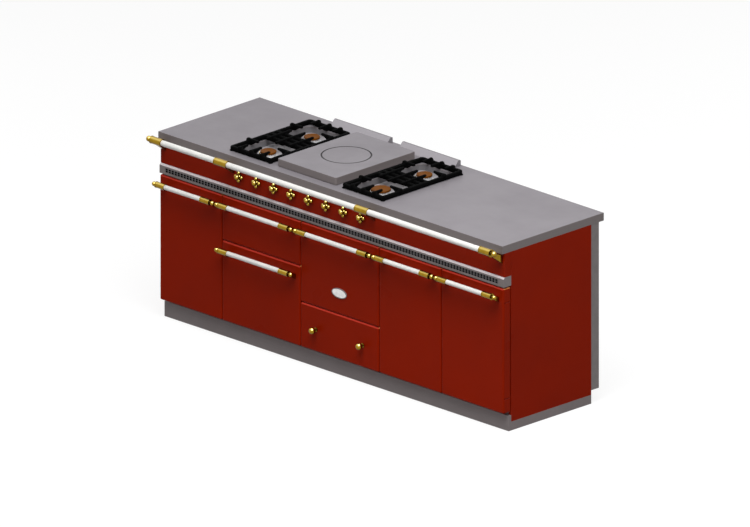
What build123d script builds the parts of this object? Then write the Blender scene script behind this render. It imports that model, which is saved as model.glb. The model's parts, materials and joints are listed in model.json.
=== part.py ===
from build123d import *
import os
from collections import namedtuple

# A range cooker of five bays under one worktop, in millimetres.
# X runs to the right, Y to the back and Z up. The origin is on the floor, under the middle of the cooker.

# Bays and the gaps between their fronts
cupboard_bay = 400.0
oven_bay = 502.5
door_gap = 3.0

# Worktop, a folded steel tray with a lip turned under its edge
worktop_height = 900.0
worktop_depth = 650.0
worktop_edge = 38.0
worktop_sheet = 3.0
worktop_lip = 40.0
worktop_round = 1.5

# Heights of the front, from the worktop down and from the floor up
fascia_height = 115.0
strip_height = 48.0
strip_to_door = 7.0
door_foot = 90.0
lower_oven_door_height = 386.0
drawer_front_height = 216.0

# Setbacks from the front edge of the worktop
door_setback = 8.0
strip_setback = 8.0
fascia_setback = 16.0
plinth_setback = 40.0
frame_setback = 56.5

# Carcass
carcass_depth = 513.0
base_height = 44.0
base_sheet = 3.0
side_panel_thickness = 18.0
panel_sheet = 2.0
frame_bar = 6.0
frame_lap = 20.0
post_half = 30.0
rear_duct_depth = 50.0
rear_panel_foot = 65.0
rear_panel_inset = 1.0
louvre_length = 150.0
louvre_height = 6.0
louvre_pitch = 18.0
louvre_rows = 5
louvre_columns = 6
louvre_column_pitch = 320.0
louvre_middle = 560.0

# Plinth and feet
plinth_height = 75.0
plinth_clearance = 1.5
plinth_board = 16.5
foot_pad_radius = 26.0
foot_pad_height = 8.0
foot_stem_radius = 7.0
foot_inset_x = 110.0
foot_inset_y = 70.0
foot_columns = 4
foot_rows = 2

# Fascia and the perforated vent strip below it
fascia_sheet = 2.0
fascia_seam = 1.5
strip_sheet = 2.0
strip_bevel = 11.0
strip_bevel_height = 9.0
vent_hole_width = 13.0
vent_hole_height = 9.0
vent_pitch = 19.2
vent_row_pitch = 10.5
vent_rows = 2
vent_row_middle = 21.0
vent_end_margin = 36.0

# Doors, made as pans with a rounded front edge and a lining over the back
door_depth = 42.5
door_sheet = 2.0
door_round = 8.0
door_rim = 14.0
lining_sheet = 3.0
lining_inset = 5.0

# Hinges: a fixed arm reaches into each door through a slot, and its pin turns in two lugs
hinge_inset = 10.0
hinge_end = 12.0
side_hinge_end = 70.0
hinge_arm_thickness = 4.0
hinge_arm_half = 6.0
hinge_eye_radius = 7.0
hinge_side_gap = 0.5
hinge_lug = 6.0
hinge_pin_radius = 3.0
hinge_pin_clearance = 0.06
hinge_pin_end_gap = 0.5
hinge_eye_clearance = 1.0

# Handles on the doors
handle_standoff = 48.0
handle_drop = 31.0
handle_end_gap = 3.0
handle_bar_diameter = 22.0
handle_bar_wall = 2.0
handle_ferrule_diameter = 28.0
handle_collar_diameter = 30.0
handle_ball_diameter = 22.0
handle_ferrule_length = 57.0
handle_arm_width = 20.0
handle_arm_rise = 4.0
handle_arm_root = 11.0
handle_foot_drop = 10.5
handle_foot_height = 27.0

# Rail along the front of the worktop
rail_forward = 57.0
rail_drop = 22.0
rail_overhang = 15.5
rail_bar_diameter = 27.0
rail_ferrule_diameter = 35.0
rail_collar_diameter = 37.0
rail_ball_diameter = 27.0
rail_ferrule_length = 69.0
rail_middle_ferrule_length = 78.0
rail_middle_offset = 451.0
rail_middle_shift = 12.0
rail_arm_width = 22.0
rail_arm_rise = 2.0
rail_arm_root = 14.0
rail_foot_drop = 28.0
rail_foot_height = 40.0

# Shared details of the brass mounts
mount_neck = 2.5
mount_neck_radius = 5.0
mount_collar = 4.0
mount_bore_depth = 28.0
mount_bore_clearance = 0.1
mount_arm_round = 2.0

# Hob, centred on the joint between the two oven bays
hob_setback = 303.0
burner_spread_x = 360.0
burner_spread_y = 139.5
burner_cap_radius = 37.0
large_cap_radius = 46.0
burner_cap_thickness = 9.0
burner_cap_round = 3.0
burner_head_height = 23.0
burner_flange_reach = 7.0
burner_flange_height = 5.0
burner_cup_inset = 4.0
burner_ports = 20
burner_port_width = 2.4
burner_port_height = 7.0
burner_port_depth = 6.0
well_width = 226.0
well_length = 474.0
well_depth = 30.0
well_round = 35.0
well_sheet = 2.0
well_flange = 9.0

# Cast pan supports over the burners
support_width = 264.0
support_length = 516.0
support_bar = 15.0
support_bridge_pitch = 38.0
support_foot_height = 3.0
support_foot_radius = 9.0
support_frame_height = 19.0
support_top = 32.0
finger_width = 10.0
finger_spread = 70.0
finger_reach = 44.0
short_finger_reach = 62.0
finger_tip_height = 9.0
finger_drop = 4.0
finger_claw = 20.0
finger_taper = 45.0

# Simmer plate with its lift-out disc
plate_width = 376.0
plate_length = 510.0
plate_height = 37.0
plate_round = 10.0
plate_edge_round = 1.5
plate_top = 12.0
plate_skirt = 10.0
plate_seat_height = 3.0
plate_seat_inset = 4.0
disc_radius = 112.0
disc_gap = 3.0
disc_chamfer = 0.75
disc_thickness = 7.0
disc_ledge = 10.0
simmer_well_width = 300.0
simmer_well_length = 420.0
simmer_ring_radius = 60.0
simmer_ring_height = 14.0

# Flue outlets behind the hob
flue_length = 360.0
flue_spread = 218.0
flue_setback = 596.0
flue_depth = 42.0
flue_height = 30.0
flue_slope = 27.0
flue_round = 7.0
flue_sheet = 2.0
flue_slot_height = 8.0
flue_slot_margin = 25.0
flue_duct_width = 24.0

# Control knobs with four lobes, and the taps and gas rail behind them
knob_count = 8
knob_pitch = 111.5
knob_height = 808.5
knob_lobe_circle = 18.5
knob_lobe_radius = 8.5
knob_arm_radius = 5.6
knob_base_radius = 11.0
knob_base_gap = 0.6
knob_base_thickness = 3.0
knob_neck_radius = 6.5
knob_cross_forward = 13.0
knob_hub_radius = 9.5
knob_hub_half = 5.0
knob_ball_radius = 11.5
knob_ball_forward = 25.0
knob_stem_radius = 4.0
knob_stem_length = 30.0
tap_bore_clearance = 0.06
tap_width = 28.0
tap_height = 34.0
tap_depth = 36.0
fascia_hole_clearance = 0.6
gas_rail_size = 22.0
gas_rail_end = 60.0
gas_pipe_radius = 11.0
gas_pipe_clearance = 1.0
gas_inlet_radius = 10.0
gas_inlet_length = 28.0

# Ovens and storage
liner_depth = 430.0
liner_sheet = 2.0
ledge_width = 10.0
ledge_thickness = 3.0
ledge_inset = 15.0
oven_ledge = 150.0
grill_ledge = 60.0
cupboard_ledge = 280.0
shelf_thickness = 6.0
shelf_clearance = 1.0
shelf_inset = 20.0
shelf_rim = 8.0
shelf_wire = 4.0
shelf_pitch = 26.0
seal_width = 10.0
seal_margin = 2.0
seal_thickness = 2.0
oven_burner_radius = 9.0
oven_burner_height = 24.0
oven_burner_gap = 60.0
oven_burner_flange_radius = 22.0
oven_burner_flange = 4.0

# Drawer and pull-out larder, which slide on ledges in their liners
runner_width = 14.0
runner_height = 12.0
runner_clearance = 0.3
slide_side_gap = 2.0
slide_depth = 412.0
slide_sheet = 2.0
drawer_wall_height = 130.0
larder_wall_height = 70.0
larder_upper_tray = 270.0
larder_post = 12.0
drawer_knob_spread = 150.0
drawer_knob_standoff = 42.0
drawer_knob_ball_radius = 16.0
drawer_knob_neck_radius = 5.0
drawer_knob_base_radius = 10.0
drawer_knob_base = 3.0

os.makedirs("parts", exist_ok=True)

# Places across the width
total_width = 3 * cupboard_bay + 2 * oven_bay
half_width = total_width / 2
bay_widths = [cupboard_bay, oven_bay, oven_bay, cupboard_bay, cupboard_bay]
bay_edges = [sum(bay_widths[:bay]) - half_width for bay in range(len(bay_widths) + 1)]
hob_x = bay_edges[2]

# Places through the depth
front_reach = rail_forward + rail_collar_diameter / 2
worktop_front = (front_reach - worktop_depth) / 2
worktop_back = worktop_front + worktop_depth
door_front = worktop_front + door_setback
door_back = door_front + door_depth
lining_back = door_back + lining_sheet
fascia_front = worktop_front + fascia_setback
fascia_back = fascia_front + fascia_sheet
strip_front = worktop_front + strip_setback
plinth_front = worktop_front + plinth_setback
frame_front = worktop_front + frame_setback
fascia_end = frame_front - fascia_seam
frame_back = frame_front + frame_bar
carcass_back = frame_front + carcass_depth
rear_face = carcass_back + rear_duct_depth
liner_back = frame_back + liner_depth
hob_y = worktop_front + hob_setback
flue_front = worktop_front + flue_setback

# Places up the height
worktop_underside = worktop_height - worktop_edge
sheet_underside = worktop_height - worktop_sheet
fascia_foot = worktop_underside - fascia_height
strip_foot = fascia_foot - strip_height
door_top = strip_foot - strip_to_door
twin_split = door_foot + lower_oven_door_height
drawer_split = door_foot + drawer_front_height
base_top = base_height + base_sheet
cavity_foot = door_foot + frame_lap
cavity_top = door_top - frame_lap
well_floor = worktop_height - well_depth
rail_y = worktop_front - rail_forward
rail_z = worktop_height - rail_drop

lying = {"X": (0, 90, 0), "Y": (90, 0, 0), "Z": (0, 0, 0)}
RodStyle = namedtuple("RodStyle", "bar ferrule collar ball length arm_width")
Station = namedtuple("Station", "point spin outward")

handle_style = RodStyle(
    handle_bar_diameter / 2,
    handle_ferrule_diameter / 2,
    handle_collar_diameter / 2,
    handle_ball_diameter / 2,
    handle_ferrule_length,
    handle_arm_width,
)
rail_style = RodStyle(
    rail_bar_diameter / 2,
    rail_ferrule_diameter / 2,
    rail_collar_diameter / 2,
    rail_ball_diameter / 2,
    rail_ferrule_length,
    rail_arm_width,
)


def save(part, name):
    part.label = name
    export_step(part, f"parts/{name}.step")


def save_group(parts, name):
    export_step(Compound(label=name, children=parts), f"parts/{name}.step")


# A box that spans three pairs of low and high values
def block(x, y, z, mode=Mode.ADD):
    with Locations(((x[0] + x[1]) / 2, (y[0] + y[1]) / 2, (z[0] + z[1]) / 2)):
        Box(x[1] - x[0], y[1] - y[0], z[1] - z[0], mode=mode)


def rod(centre, radius, length, axis, mode=Mode.ADD):
    with Locations(centre):
        Cylinder(radius, length, rotation=lying[axis], mode=mode)


def rounded_slab(centre, width, length, corner, z, mode=Mode.ADD):
    with BuildSketch(Plane.XY.offset(z[0])) as outline:
        with Locations(centre):
            RectangleRounded(width, length, corner)
    extrude(outline.sketch, amount=z[1] - z[0], mode=mode)


def plate(x, y, z):
    with BuildPart() as slab:
        block(x, y, z)
    return slab.part


def span(low, high, inset):
    return (low + inset, high - inset)


# The front of a bay or of part of one, less half a gap on each side
def front_span(bay):
    return span(bay_edges[bay], bay_edges[bay + 1], door_gap / 2)


# The opening in the front frame behind a bay's front
def cavity_span(bay):
    return span(bay_edges[bay], bay_edges[bay + 1], post_half)


full_front = (door_foot, door_top)
grill_front = (twin_split + door_gap / 2, door_top)
lower_oven_front = (door_foot, twin_split - door_gap / 2)
main_oven_front = (drawer_split + door_gap / 2, door_top)
drawer_front_span = (door_foot, drawer_split - door_gap / 2)

full_cavity = (cavity_foot, cavity_top)
grill_cavity = (twin_split + frame_lap, cavity_top)
lower_oven_cavity = (cavity_foot, twin_split - frame_lap)
main_oven_cavity = (drawer_split + frame_lap, cavity_top)
drawer_cavity = (cavity_foot, drawer_split - frame_lap)

# Worktop with openings for the wells, a raised seat for the simmer plate and slots under the flues
wells = [
    (hob_x - burner_spread_x, well_width, well_length),
    (hob_x, simmer_well_width, simmer_well_length),
    (hob_x + burner_spread_x, well_width, well_length),
]
with BuildPart() as worktop:
    block((-half_width, half_width), (worktop_front, worktop_back), (worktop_underside, worktop_height))
    fillet(worktop.faces().sort_by(Axis.Z)[-1].edges(), worktop_round)
    block(
        span(-half_width, half_width, worktop_sheet),
        span(worktop_front, worktop_back, worktop_sheet),
        (worktop_underside + worktop_sheet, sheet_underside),
        Mode.SUBTRACT,
    )
    block(
        span(-half_width, half_width, worktop_lip),
        span(worktop_front, worktop_back, worktop_lip),
        (worktop_underside, worktop_underside + worktop_sheet),
        Mode.SUBTRACT,
    )
    rounded_slab(
        (hob_x, hob_y),
        plate_width - 2 * plate_seat_inset,
        plate_length - 2 * plate_seat_inset,
        plate_round,
        (worktop_height, worktop_height + plate_seat_height),
    )
    for well_x, width, length in wells:
        rounded_slab(
            (well_x, hob_y),
            width,
            length,
            well_round,
            (sheet_underside, worktop_height + plate_seat_height),
            Mode.SUBTRACT,
        )
    for side in (-1, 1):
        block(
            span(
                hob_x + side * flue_spread - flue_length / 2,
                hob_x + side * flue_spread + flue_length / 2,
                flue_slot_margin,
            ),
            span(flue_front, flue_front + flue_depth, (flue_depth - flue_duct_width) / 2),
            (sheet_underside, worktop_height),
            Mode.SUBTRACT,
        )
save(worktop.part, "worktop")

# Pressed wells that hang under the worktop sheet
with BuildPart() as spill_trays:
    for well_x, width, length in wells:
        rounded_slab(
            (well_x, hob_y),
            width + 2 * well_flange,
            length + 2 * well_flange,
            well_round + well_flange,
            (sheet_underside - well_sheet, sheet_underside),
        )
        rounded_slab(
            (well_x, hob_y),
            width + 2 * well_sheet,
            length + 2 * well_sheet,
            well_round + well_sheet,
            (well_floor - well_sheet, sheet_underside - well_sheet),
        )
        rounded_slab((well_x, hob_y), width, length, well_round, (well_floor, sheet_underside), Mode.SUBTRACT)
save(spill_trays.part, "spill_trays")

# Four burners, the one at the front right larger than the others
burners = []
for side in (-1, 1):
    for row in (-1, 1):
        cap_radius = large_cap_radius if (side, row) == (1, -1) else burner_cap_radius
        burners.append((hob_x + side * burner_spread_x, hob_y + row * burner_spread_y, cap_radius))
cap_foot = well_floor + burner_head_height

with BuildPart() as burner_heads:
    for burner_x, burner_y, cap_radius in burners:
        cup_radius = cap_radius - burner_cup_inset
        rod(
            (burner_x, burner_y, well_floor + burner_flange_height / 2),
            cap_radius + burner_flange_reach,
            burner_flange_height,
            "Z",
        )
        rod(
            (burner_x, burner_y, (well_floor + cap_foot) / 2),
            cup_radius,
            burner_head_height,
            "Z",
        )
        with Locations((burner_x, burner_y, cap_foot - burner_port_height / 2)):
            with PolarLocations(cup_radius, burner_ports):
                Box(2 * burner_port_depth, burner_port_width, burner_port_height, mode=Mode.SUBTRACT)
save(burner_heads.part, "burner_heads")

with BuildPart() as burner_caps:
    for burner_x, burner_y, cap_radius in burners:
        rod(
            (burner_x, burner_y, cap_foot + burner_cap_thickness / 2),
            cap_radius,
            burner_cap_thickness,
            "Z",
        )
    fillet(burner_caps.edges().group_by(Axis.Z)[-1], burner_cap_round)
save(burner_caps.part, "burner_caps")

# A cast pan support stands over each pair of burners
frame_low = worktop_height + support_foot_height
frame_high = frame_low + support_frame_height
support_high = worktop_height + support_top


# One finger that starts on a bar as a deep web and ends over a burner as a claw
def finger(start, direction, length):
    root = (start[0], start[1], 0)
    across = (direction[1], -direction[0], 0)
    web_end = max(length - finger_taper, finger_width / 2)
    with BuildSketch(Plane(origin=root, x_dir=direction, z_dir=across)) as profile:
        with BuildLine():
            Polyline(
                (-finger_width / 2, frame_low),
                (-finger_width / 2, support_high),
                (length, support_high),
                (length, support_high - finger_tip_height),
                (length - finger_claw, support_high - finger_tip_height - finger_drop),
                (web_end, frame_low),
                close=True,
            )
        make_face()
    extrude(profile.sketch, amount=finger_width / 2, both=True)


pan_supports = []
for side in (-1, 1):
    support_x = hob_x + side * burner_spread_x
    bar_x = (support_width - support_bar) / 2
    bar_y = (support_length - support_bar) / 2
    with BuildPart() as pan_support:
        with BuildSketch(Plane.XY.offset(frame_low)):
            with Locations((support_x, hob_y)):
                RectangleRounded(support_width, support_length, support_bar)
                Rectangle(support_width - 2 * support_bar, support_length - 2 * support_bar, mode=Mode.SUBTRACT)
                with GridLocations(0, support_bridge_pitch, 1, 3):
                    Rectangle(support_width - support_bar, support_bar)
        extrude(amount=support_frame_height)
        with Locations((support_x, hob_y, worktop_height + support_foot_height / 2)):
            with GridLocations(2 * bar_x, 2 * bar_y, 2, 2):
                Cylinder(support_foot_radius, support_foot_height)
        for row in (-1, 1):
            burner_y = row * burner_spread_y
            for offset_x in (-finger_spread, 0, finger_spread):
                reach = finger_reach if offset_x == 0 else short_finger_reach
                outer_run = bar_y - burner_spread_y - reach
                inner_run = burner_spread_y - reach
                finger((support_x + offset_x, hob_y + row * bar_y), (0, -row, 0), outer_run)
                finger((support_x + offset_x, hob_y), (0, row, 0), inner_run)
            for end in (-1, 1):
                finger((support_x + end * bar_x, hob_y + burner_y), (-end, 0, 0), bar_x - short_finger_reach)
    pan_supports.append(pan_support.part)
save_group(pan_supports, "pan_supports")

# Simmer plate with a stepped hole, and the disc that lies in the step
seat_top = worktop_height + plate_seat_height
plate_high = worktop_height + plate_height
disc_foot = plate_high - disc_thickness
with BuildPart() as simmer_plate:
    rounded_slab((hob_x, hob_y), plate_width, plate_length, plate_round, (seat_top, plate_high))
    fillet(simmer_plate.faces().sort_by(Axis.Z)[-1].edges(), plate_edge_round)
    rounded_slab(
        (hob_x, hob_y),
        plate_width - 2 * plate_skirt,
        plate_length - 2 * plate_skirt,
        plate_round,
        (seat_top, plate_high - plate_top),
        Mode.SUBTRACT,
    )
    rod(
        (hob_x, hob_y, (disc_foot + plate_high) / 2),
        disc_radius + disc_gap,
        disc_thickness,
        "Z",
        Mode.SUBTRACT,
    )
    rod((hob_x, hob_y, plate_high - plate_top), disc_radius - disc_ledge, 2 * plate_top, "Z", Mode.SUBTRACT)
save(simmer_plate.part, "simmer_plate")

with BuildPart() as simmer_disc:
    rod((hob_x, hob_y, (disc_foot + plate_high) / 2), disc_radius, disc_thickness, "Z")
    chamfer(simmer_disc.edges().group_by(Axis.Z)[-1], disc_chamfer)
save(simmer_disc.part, "simmer_disc")

# Two flue outlets with a sloping front, open below and slotted at the back
with BuildPart() as flue_vents:
    for side in (-1, 1):
        flue_x = hob_x + side * flue_spread
        for inset, mode in ((0, Mode.ADD), (flue_sheet, Mode.SUBTRACT)):
            with BuildSketch(Plane.YZ.offset(flue_x - flue_length / 2 + inset)) as profile:
                with BuildLine():
                    Polyline(
                        (flue_front + inset, worktop_height),
                        (flue_front + flue_slope + inset, worktop_height + flue_height - inset),
                        (flue_front + flue_depth - inset, worktop_height + flue_height - inset),
                        (flue_front + flue_depth - inset, worktop_height),
                        close=True,
                    )
                make_face()
                fillet(profile.vertices().group_by(Axis.Y)[-1], flue_round - inset)
            extrude(amount=flue_length - 2 * inset, mode=mode)
        block(
            span(flue_x - flue_length / 2, flue_x + flue_length / 2, flue_slot_margin),
            (flue_front + flue_depth - 2 * flue_sheet, flue_front + flue_depth),
            (
                worktop_height + (flue_height - flue_slot_height) / 2,
                worktop_height + (flue_height + flue_slot_height) / 2,
            ),
            Mode.SUBTRACT,
        )
save(flue_vents.part, "flue_vents")

# Fascia, a folded pan with a hole for each knob
knob_places = [hob_x + (knob - (knob_count - 1) / 2) * knob_pitch for knob in range(knob_count)]
with BuildPart() as control_fascia:
    block((-half_width, half_width), (fascia_front, fascia_end), (fascia_foot, worktop_underside))
    block(
        span(-half_width, half_width, fascia_sheet),
        (fascia_back, fascia_end),
        span(fascia_foot, worktop_underside, fascia_sheet),
        Mode.SUBTRACT,
    )
    for knob_x in knob_places:
        rod(
            (knob_x, fascia_front, knob_height),
            knob_stem_radius + fascia_hole_clearance,
            4 * fascia_sheet,
            "Y",
            Mode.SUBTRACT,
        )
save(control_fascia.part, "control_fascia")

# Vent strip, a channel with a bevelled top edge and two rows of oblong holes
vent_count = int((total_width - 2 * vent_end_margin) / vent_pitch)
with BuildPart() as vent_strip:
    for inset, mode in ((0, Mode.ADD), (strip_sheet, Mode.SUBTRACT)):
        with BuildSketch(Plane.YZ.offset(-half_width + inset)):
            with BuildLine():
                Polyline(
                    (strip_front + inset, strip_foot + inset),
                    (strip_front + inset, fascia_foot - strip_bevel_height),
                    (strip_front + strip_bevel, fascia_foot - inset),
                    (frame_front, fascia_foot - inset),
                    (frame_front, strip_foot + inset),
                    close=True,
                )
            make_face()
        extrude(amount=total_width - 2 * inset, mode=mode)
    with BuildSketch(Plane.XZ.offset(-strip_front)):
        with Locations((0, strip_foot + vent_row_middle)):
            with GridLocations(vent_pitch, vent_row_pitch, vent_count, vent_rows):
                Rectangle(vent_hole_width, vent_hole_height)
    extrude(amount=-2 * strip_sheet, mode=Mode.SUBTRACT)
save(vent_strip.part, "vent_strip")

# Side panels, folded pans that are open towards the inside
side_panels = []
for side in (-1, 1):
    inner_face = side * (half_width - side_panel_thickness)
    with BuildPart() as side_panel:
        block(
            sorted((inner_face, side * half_width)),
            (frame_front, carcass_back),
            (base_height, worktop_underside),
        )
        block(
            sorted((inner_face, side * (half_width - panel_sheet))),
            span(frame_front, carcass_back, panel_sheet),
            span(base_height, worktop_underside, panel_sheet),
            Mode.SUBTRACT,
        )
    side_panels.append(side_panel.part)
save_group(side_panels, "side_panels")

# Gas inlet behind the right-hand end of the gas rail
gas_rail_front = fascia_back + tap_depth
gas_rail_back = gas_rail_front + gas_rail_size
inlet_x = knob_places[-1] + gas_rail_end

# Rear panel, a shallow duct with rows of louvres and a hole for the gas pipe
with BuildPart() as rear_panel:
    block(
        span(-half_width, half_width, rear_panel_inset),
        (carcass_back, rear_face),
        (rear_panel_foot, worktop_underside),
    )
    block(
        span(-half_width, half_width, rear_panel_inset + panel_sheet),
        (carcass_back, rear_face - panel_sheet),
        span(rear_panel_foot, worktop_underside, panel_sheet),
        Mode.SUBTRACT,
    )
    with BuildSketch(Plane.XZ.offset(-rear_face)):
        with Locations((0, louvre_middle)):
            with GridLocations(louvre_column_pitch, louvre_pitch, louvre_columns, louvre_rows):
                SlotOverall(louvre_length, louvre_height)
    extrude(amount=2 * panel_sheet, mode=Mode.SUBTRACT)
    rod(
        (inlet_x, rear_face, knob_height),
        gas_pipe_radius + gas_pipe_clearance,
        4 * panel_sheet,
        "Y",
        Mode.SUBTRACT,
    )
save(rear_panel.part, "rear_panel")

# Base, plinth boards and levelling feet
inner_half = half_width - side_panel_thickness
base_panel = plate((-inner_half, inner_half), (frame_front, carcass_back), (base_height, base_top))
save(base_panel, "base_panel")

plinth_boards = [
    plate(
        (-half_width, half_width),
        (plinth_front, plinth_front + plinth_board),
        (plinth_clearance, plinth_height),
    )
]
for side in (-1, 1):
    board_x = sorted((side * half_width, side * (half_width - side_panel_thickness)))
    plinth_boards.append(
        plate(board_x, (plinth_front + plinth_board, carcass_back), (plinth_clearance, base_height))
    )
save_group(plinth_boards, "plinth")

with BuildPart() as feet:
    with Locations((0, (frame_front + carcass_back) / 2)):
        with GridLocations(
            (total_width - 2 * foot_inset_x) / (foot_columns - 1),
            (carcass_depth - 2 * foot_inset_y) / (foot_rows - 1),
            foot_columns,
            foot_rows,
        ):
            with Locations((0, 0, foot_pad_height / 2)):
                Cylinder(foot_pad_radius, foot_pad_height)
            with Locations((0, 0, (foot_pad_height + base_height) / 2)):
                Cylinder(foot_stem_radius, base_height - foot_pad_height)
save(feet.part, "feet")

# Front frame of flat bars: a rail above and below, posts at the bay edges and a rail at each split
frame_y = (frame_front, frame_back)
frame_bars = [
    plate((-inner_half, inner_half), frame_y, (cavity_top, fascia_foot)),
    plate((-inner_half, inner_half), frame_y, (base_top, cavity_foot)),
]
for edge in bay_edges:
    post = (max(edge - post_half, -inner_half), min(edge + post_half, inner_half))
    frame_bars.append(plate(post, frame_y, full_cavity))
for bay, split_z in ((1, twin_split), (2, drawer_split)):
    frame_bars.append(plate(cavity_span(bay), frame_y, (split_z - frame_lap, split_z + frame_lap)))
save_group(frame_bars, "front_frame")


# A box behind an opening of the frame, open at the front, with a ledge along each side
def liner(x, z, ledge_z, ledge_across, ledge_height):
    with BuildPart() as box:
        block(
            (x[0] - liner_sheet, x[1] + liner_sheet),
            (frame_back, liner_back + liner_sheet),
            (z[0] - liner_sheet, z[1] + liner_sheet),
        )
        block(x, (frame_back, liner_back), z, Mode.SUBTRACT)
        ledge_y = (frame_back + ledge_inset, liner_back)
        block((x[0], x[0] + ledge_across), ledge_y, (ledge_z - ledge_height, ledge_z))
        block((x[1] - ledge_across, x[1]), ledge_y, (ledge_z - ledge_height, ledge_z))
    return box.part


ovens = [
    (cavity_span(1), grill_cavity, grill_ledge),
    (cavity_span(1), lower_oven_cavity, oven_ledge),
    (cavity_span(2), main_oven_cavity, oven_ledge),
]
cupboards = [
    (cavity_span(0), full_cavity, cupboard_ledge),
    (cavity_span(4), full_cavity, cupboard_ledge),
]
sliding_bays = [(cavity_span(2), drawer_cavity), (cavity_span(3), full_cavity)]

oven_liners = [liner(x, z, z[0] + ledge, ledge_width, ledge_thickness) for x, z, ledge in ovens]
save_group(oven_liners, "oven_liners")

storage_liners = [liner(x, z, z[0] + ledge, ledge_width, ledge_thickness) for x, z, ledge in cupboards]
for x, z in sliding_bays:
    storage_liners.append(liner(x, z, z[0] + runner_height, runner_width, runner_height))
save_group(storage_liners, "storage_liners")


# A grid shelf that lies on the ledges of a liner
def shelf(x, z, ledge):
    width = x[1] - x[0] - 2 * shelf_clearance
    length = liner_depth - 2 * shelf_inset
    gap = shelf_pitch - shelf_wire
    gap_count = int((width - 2 * shelf_rim + shelf_wire) / shelf_pitch)
    with BuildPart() as grid:
        with BuildSketch(Plane.XY.offset(z[0] + ledge)):
            with Locations(((x[0] + x[1]) / 2, (frame_back + liner_back) / 2)):
                Rectangle(width, length)
                with GridLocations(shelf_pitch, 0, gap_count, 1):
                    Rectangle(gap, length - 2 * shelf_rim, mode=Mode.SUBTRACT)
                Rectangle(width - 2 * shelf_rim, shelf_wire)
        extrude(amount=shelf_thickness)
    return grid.part


save_group([shelf(*space) for space in ovens + cupboards], "wire_shelves")

# Seals round the oven openings
oven_seals = []
for x, z, _ in ovens:
    inner_width = x[1] - x[0] + 2 * seal_margin
    inner_height = z[1] - z[0] + 2 * seal_margin
    with BuildPart() as seal:
        with BuildSketch(Plane.XZ.offset(-frame_front)):
            with Locations(((x[0] + x[1]) / 2, (z[0] + z[1]) / 2)):
                RectangleRounded(inner_width + 2 * seal_width, inner_height + 2 * seal_width, seal_width)
                Rectangle(inner_width, inner_height, mode=Mode.SUBTRACT)
        extrude(amount=seal_thickness)
    oven_seals.append(seal.part)
save_group(oven_seals, "oven_seals")

# Tube burners on the back walls of the ovens, and a ring burner below the simmer plate
with BuildPart() as oven_burners:
    for number, (x, z, _) in enumerate(ovens):
        burner_z = z[1] - oven_burner_height if number == 0 else z[0] + oven_burner_height
        burner_x = (x[0] + x[1]) / 2
        burner_run = liner_depth - oven_burner_gap
        rod((burner_x, liner_back - burner_run / 2, burner_z), oven_burner_radius, burner_run, "Y")
        rod(
            (burner_x, liner_back - oven_burner_flange / 2, burner_z),
            oven_burner_flange_radius,
            oven_burner_flange,
            "Y",
        )
    rod((hob_x, hob_y, well_floor + simmer_ring_height / 2), simmer_ring_radius, simmer_ring_height, "Z")
save(oven_burners.part, "oven_burners")

# Gas rail with its feed pipe to the back, and one tap behind each knob
gas_parts = []
with BuildPart() as gas_rail:
    block(
        (knob_places[0] - gas_rail_end, inlet_x + gas_rail_size),
        (gas_rail_front, gas_rail_back),
        (knob_height - gas_rail_size / 2, knob_height + gas_rail_size / 2),
    )
    pipe_run = rear_face - gas_rail_back
    rod((inlet_x, gas_rail_back + pipe_run / 2, knob_height), gas_pipe_radius, pipe_run, "Y")
    rod(
        (inlet_x, rear_face + gas_inlet_length / 2, knob_height),
        gas_inlet_radius,
        gas_inlet_length,
        "Y",
    )
gas_parts.append(gas_rail.part)
for knob_x in knob_places:
    with BuildPart() as tap:
        block(
            (knob_x - tap_width / 2, knob_x + tap_width / 2),
            (fascia_back, gas_rail_front),
            (knob_height - tap_height / 2, knob_height + tap_height / 2),
        )
        rod(
            (knob_x, fascia_front, knob_height),
            knob_stem_radius + tap_bore_clearance,
            2 * (knob_stem_length + hinge_pin_end_gap),
            "Y",
            Mode.SUBTRACT,
        )
    gas_parts.append(tap.part)
save_group(gas_parts, "gas_manifold")

# Control knobs: a stem, a waisted base, a ball in front and four lobes on short arms
hub_back = knob_cross_forward - knob_hub_half
hub_front = knob_cross_forward + knob_hub_half
with BuildPart() as control_knob:
    with BuildSketch(Plane(origin=(0, 0, 0), x_dir=(0, -1, 0), z_dir=(1, 0, 0))):
        with BuildLine():
            Polyline(
                (-knob_stem_length, 0),
                (-knob_stem_length, knob_stem_radius),
                (knob_base_gap, knob_stem_radius),
                (knob_base_gap, knob_base_radius),
                (knob_base_gap + knob_base_thickness, knob_base_radius),
                (knob_base_gap + knob_base_thickness, knob_neck_radius),
                (hub_back, knob_neck_radius),
                (knob_cross_forward, knob_hub_radius),
                (hub_front, knob_neck_radius),
                (knob_ball_forward, knob_neck_radius),
                (knob_ball_forward, 0),
                close=True,
            )
        make_face()
    revolve(axis=Axis.Y)
    with Locations((0, -knob_ball_forward, 0)):
        Sphere(knob_ball_radius)
    with Locations((0, -knob_cross_forward, 0)):
        Cylinder(knob_arm_radius, 2 * knob_lobe_circle, rotation=(0, 90, 0))
        Cylinder(knob_arm_radius, 2 * knob_lobe_circle)
    for lobe_x, lobe_z in ((1, 0), (-1, 0), (0, 1), (0, -1)):
        with Locations((lobe_x * knob_lobe_circle, -knob_cross_forward, lobe_z * knob_lobe_circle)):
            Sphere(knob_lobe_radius)
for number, knob_x in enumerate(knob_places, start=1):
    knob_place = Location((knob_x, fascia_front, knob_height))
    save(control_knob.part.moved(knob_place), f"control_knob_{number}")


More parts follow.
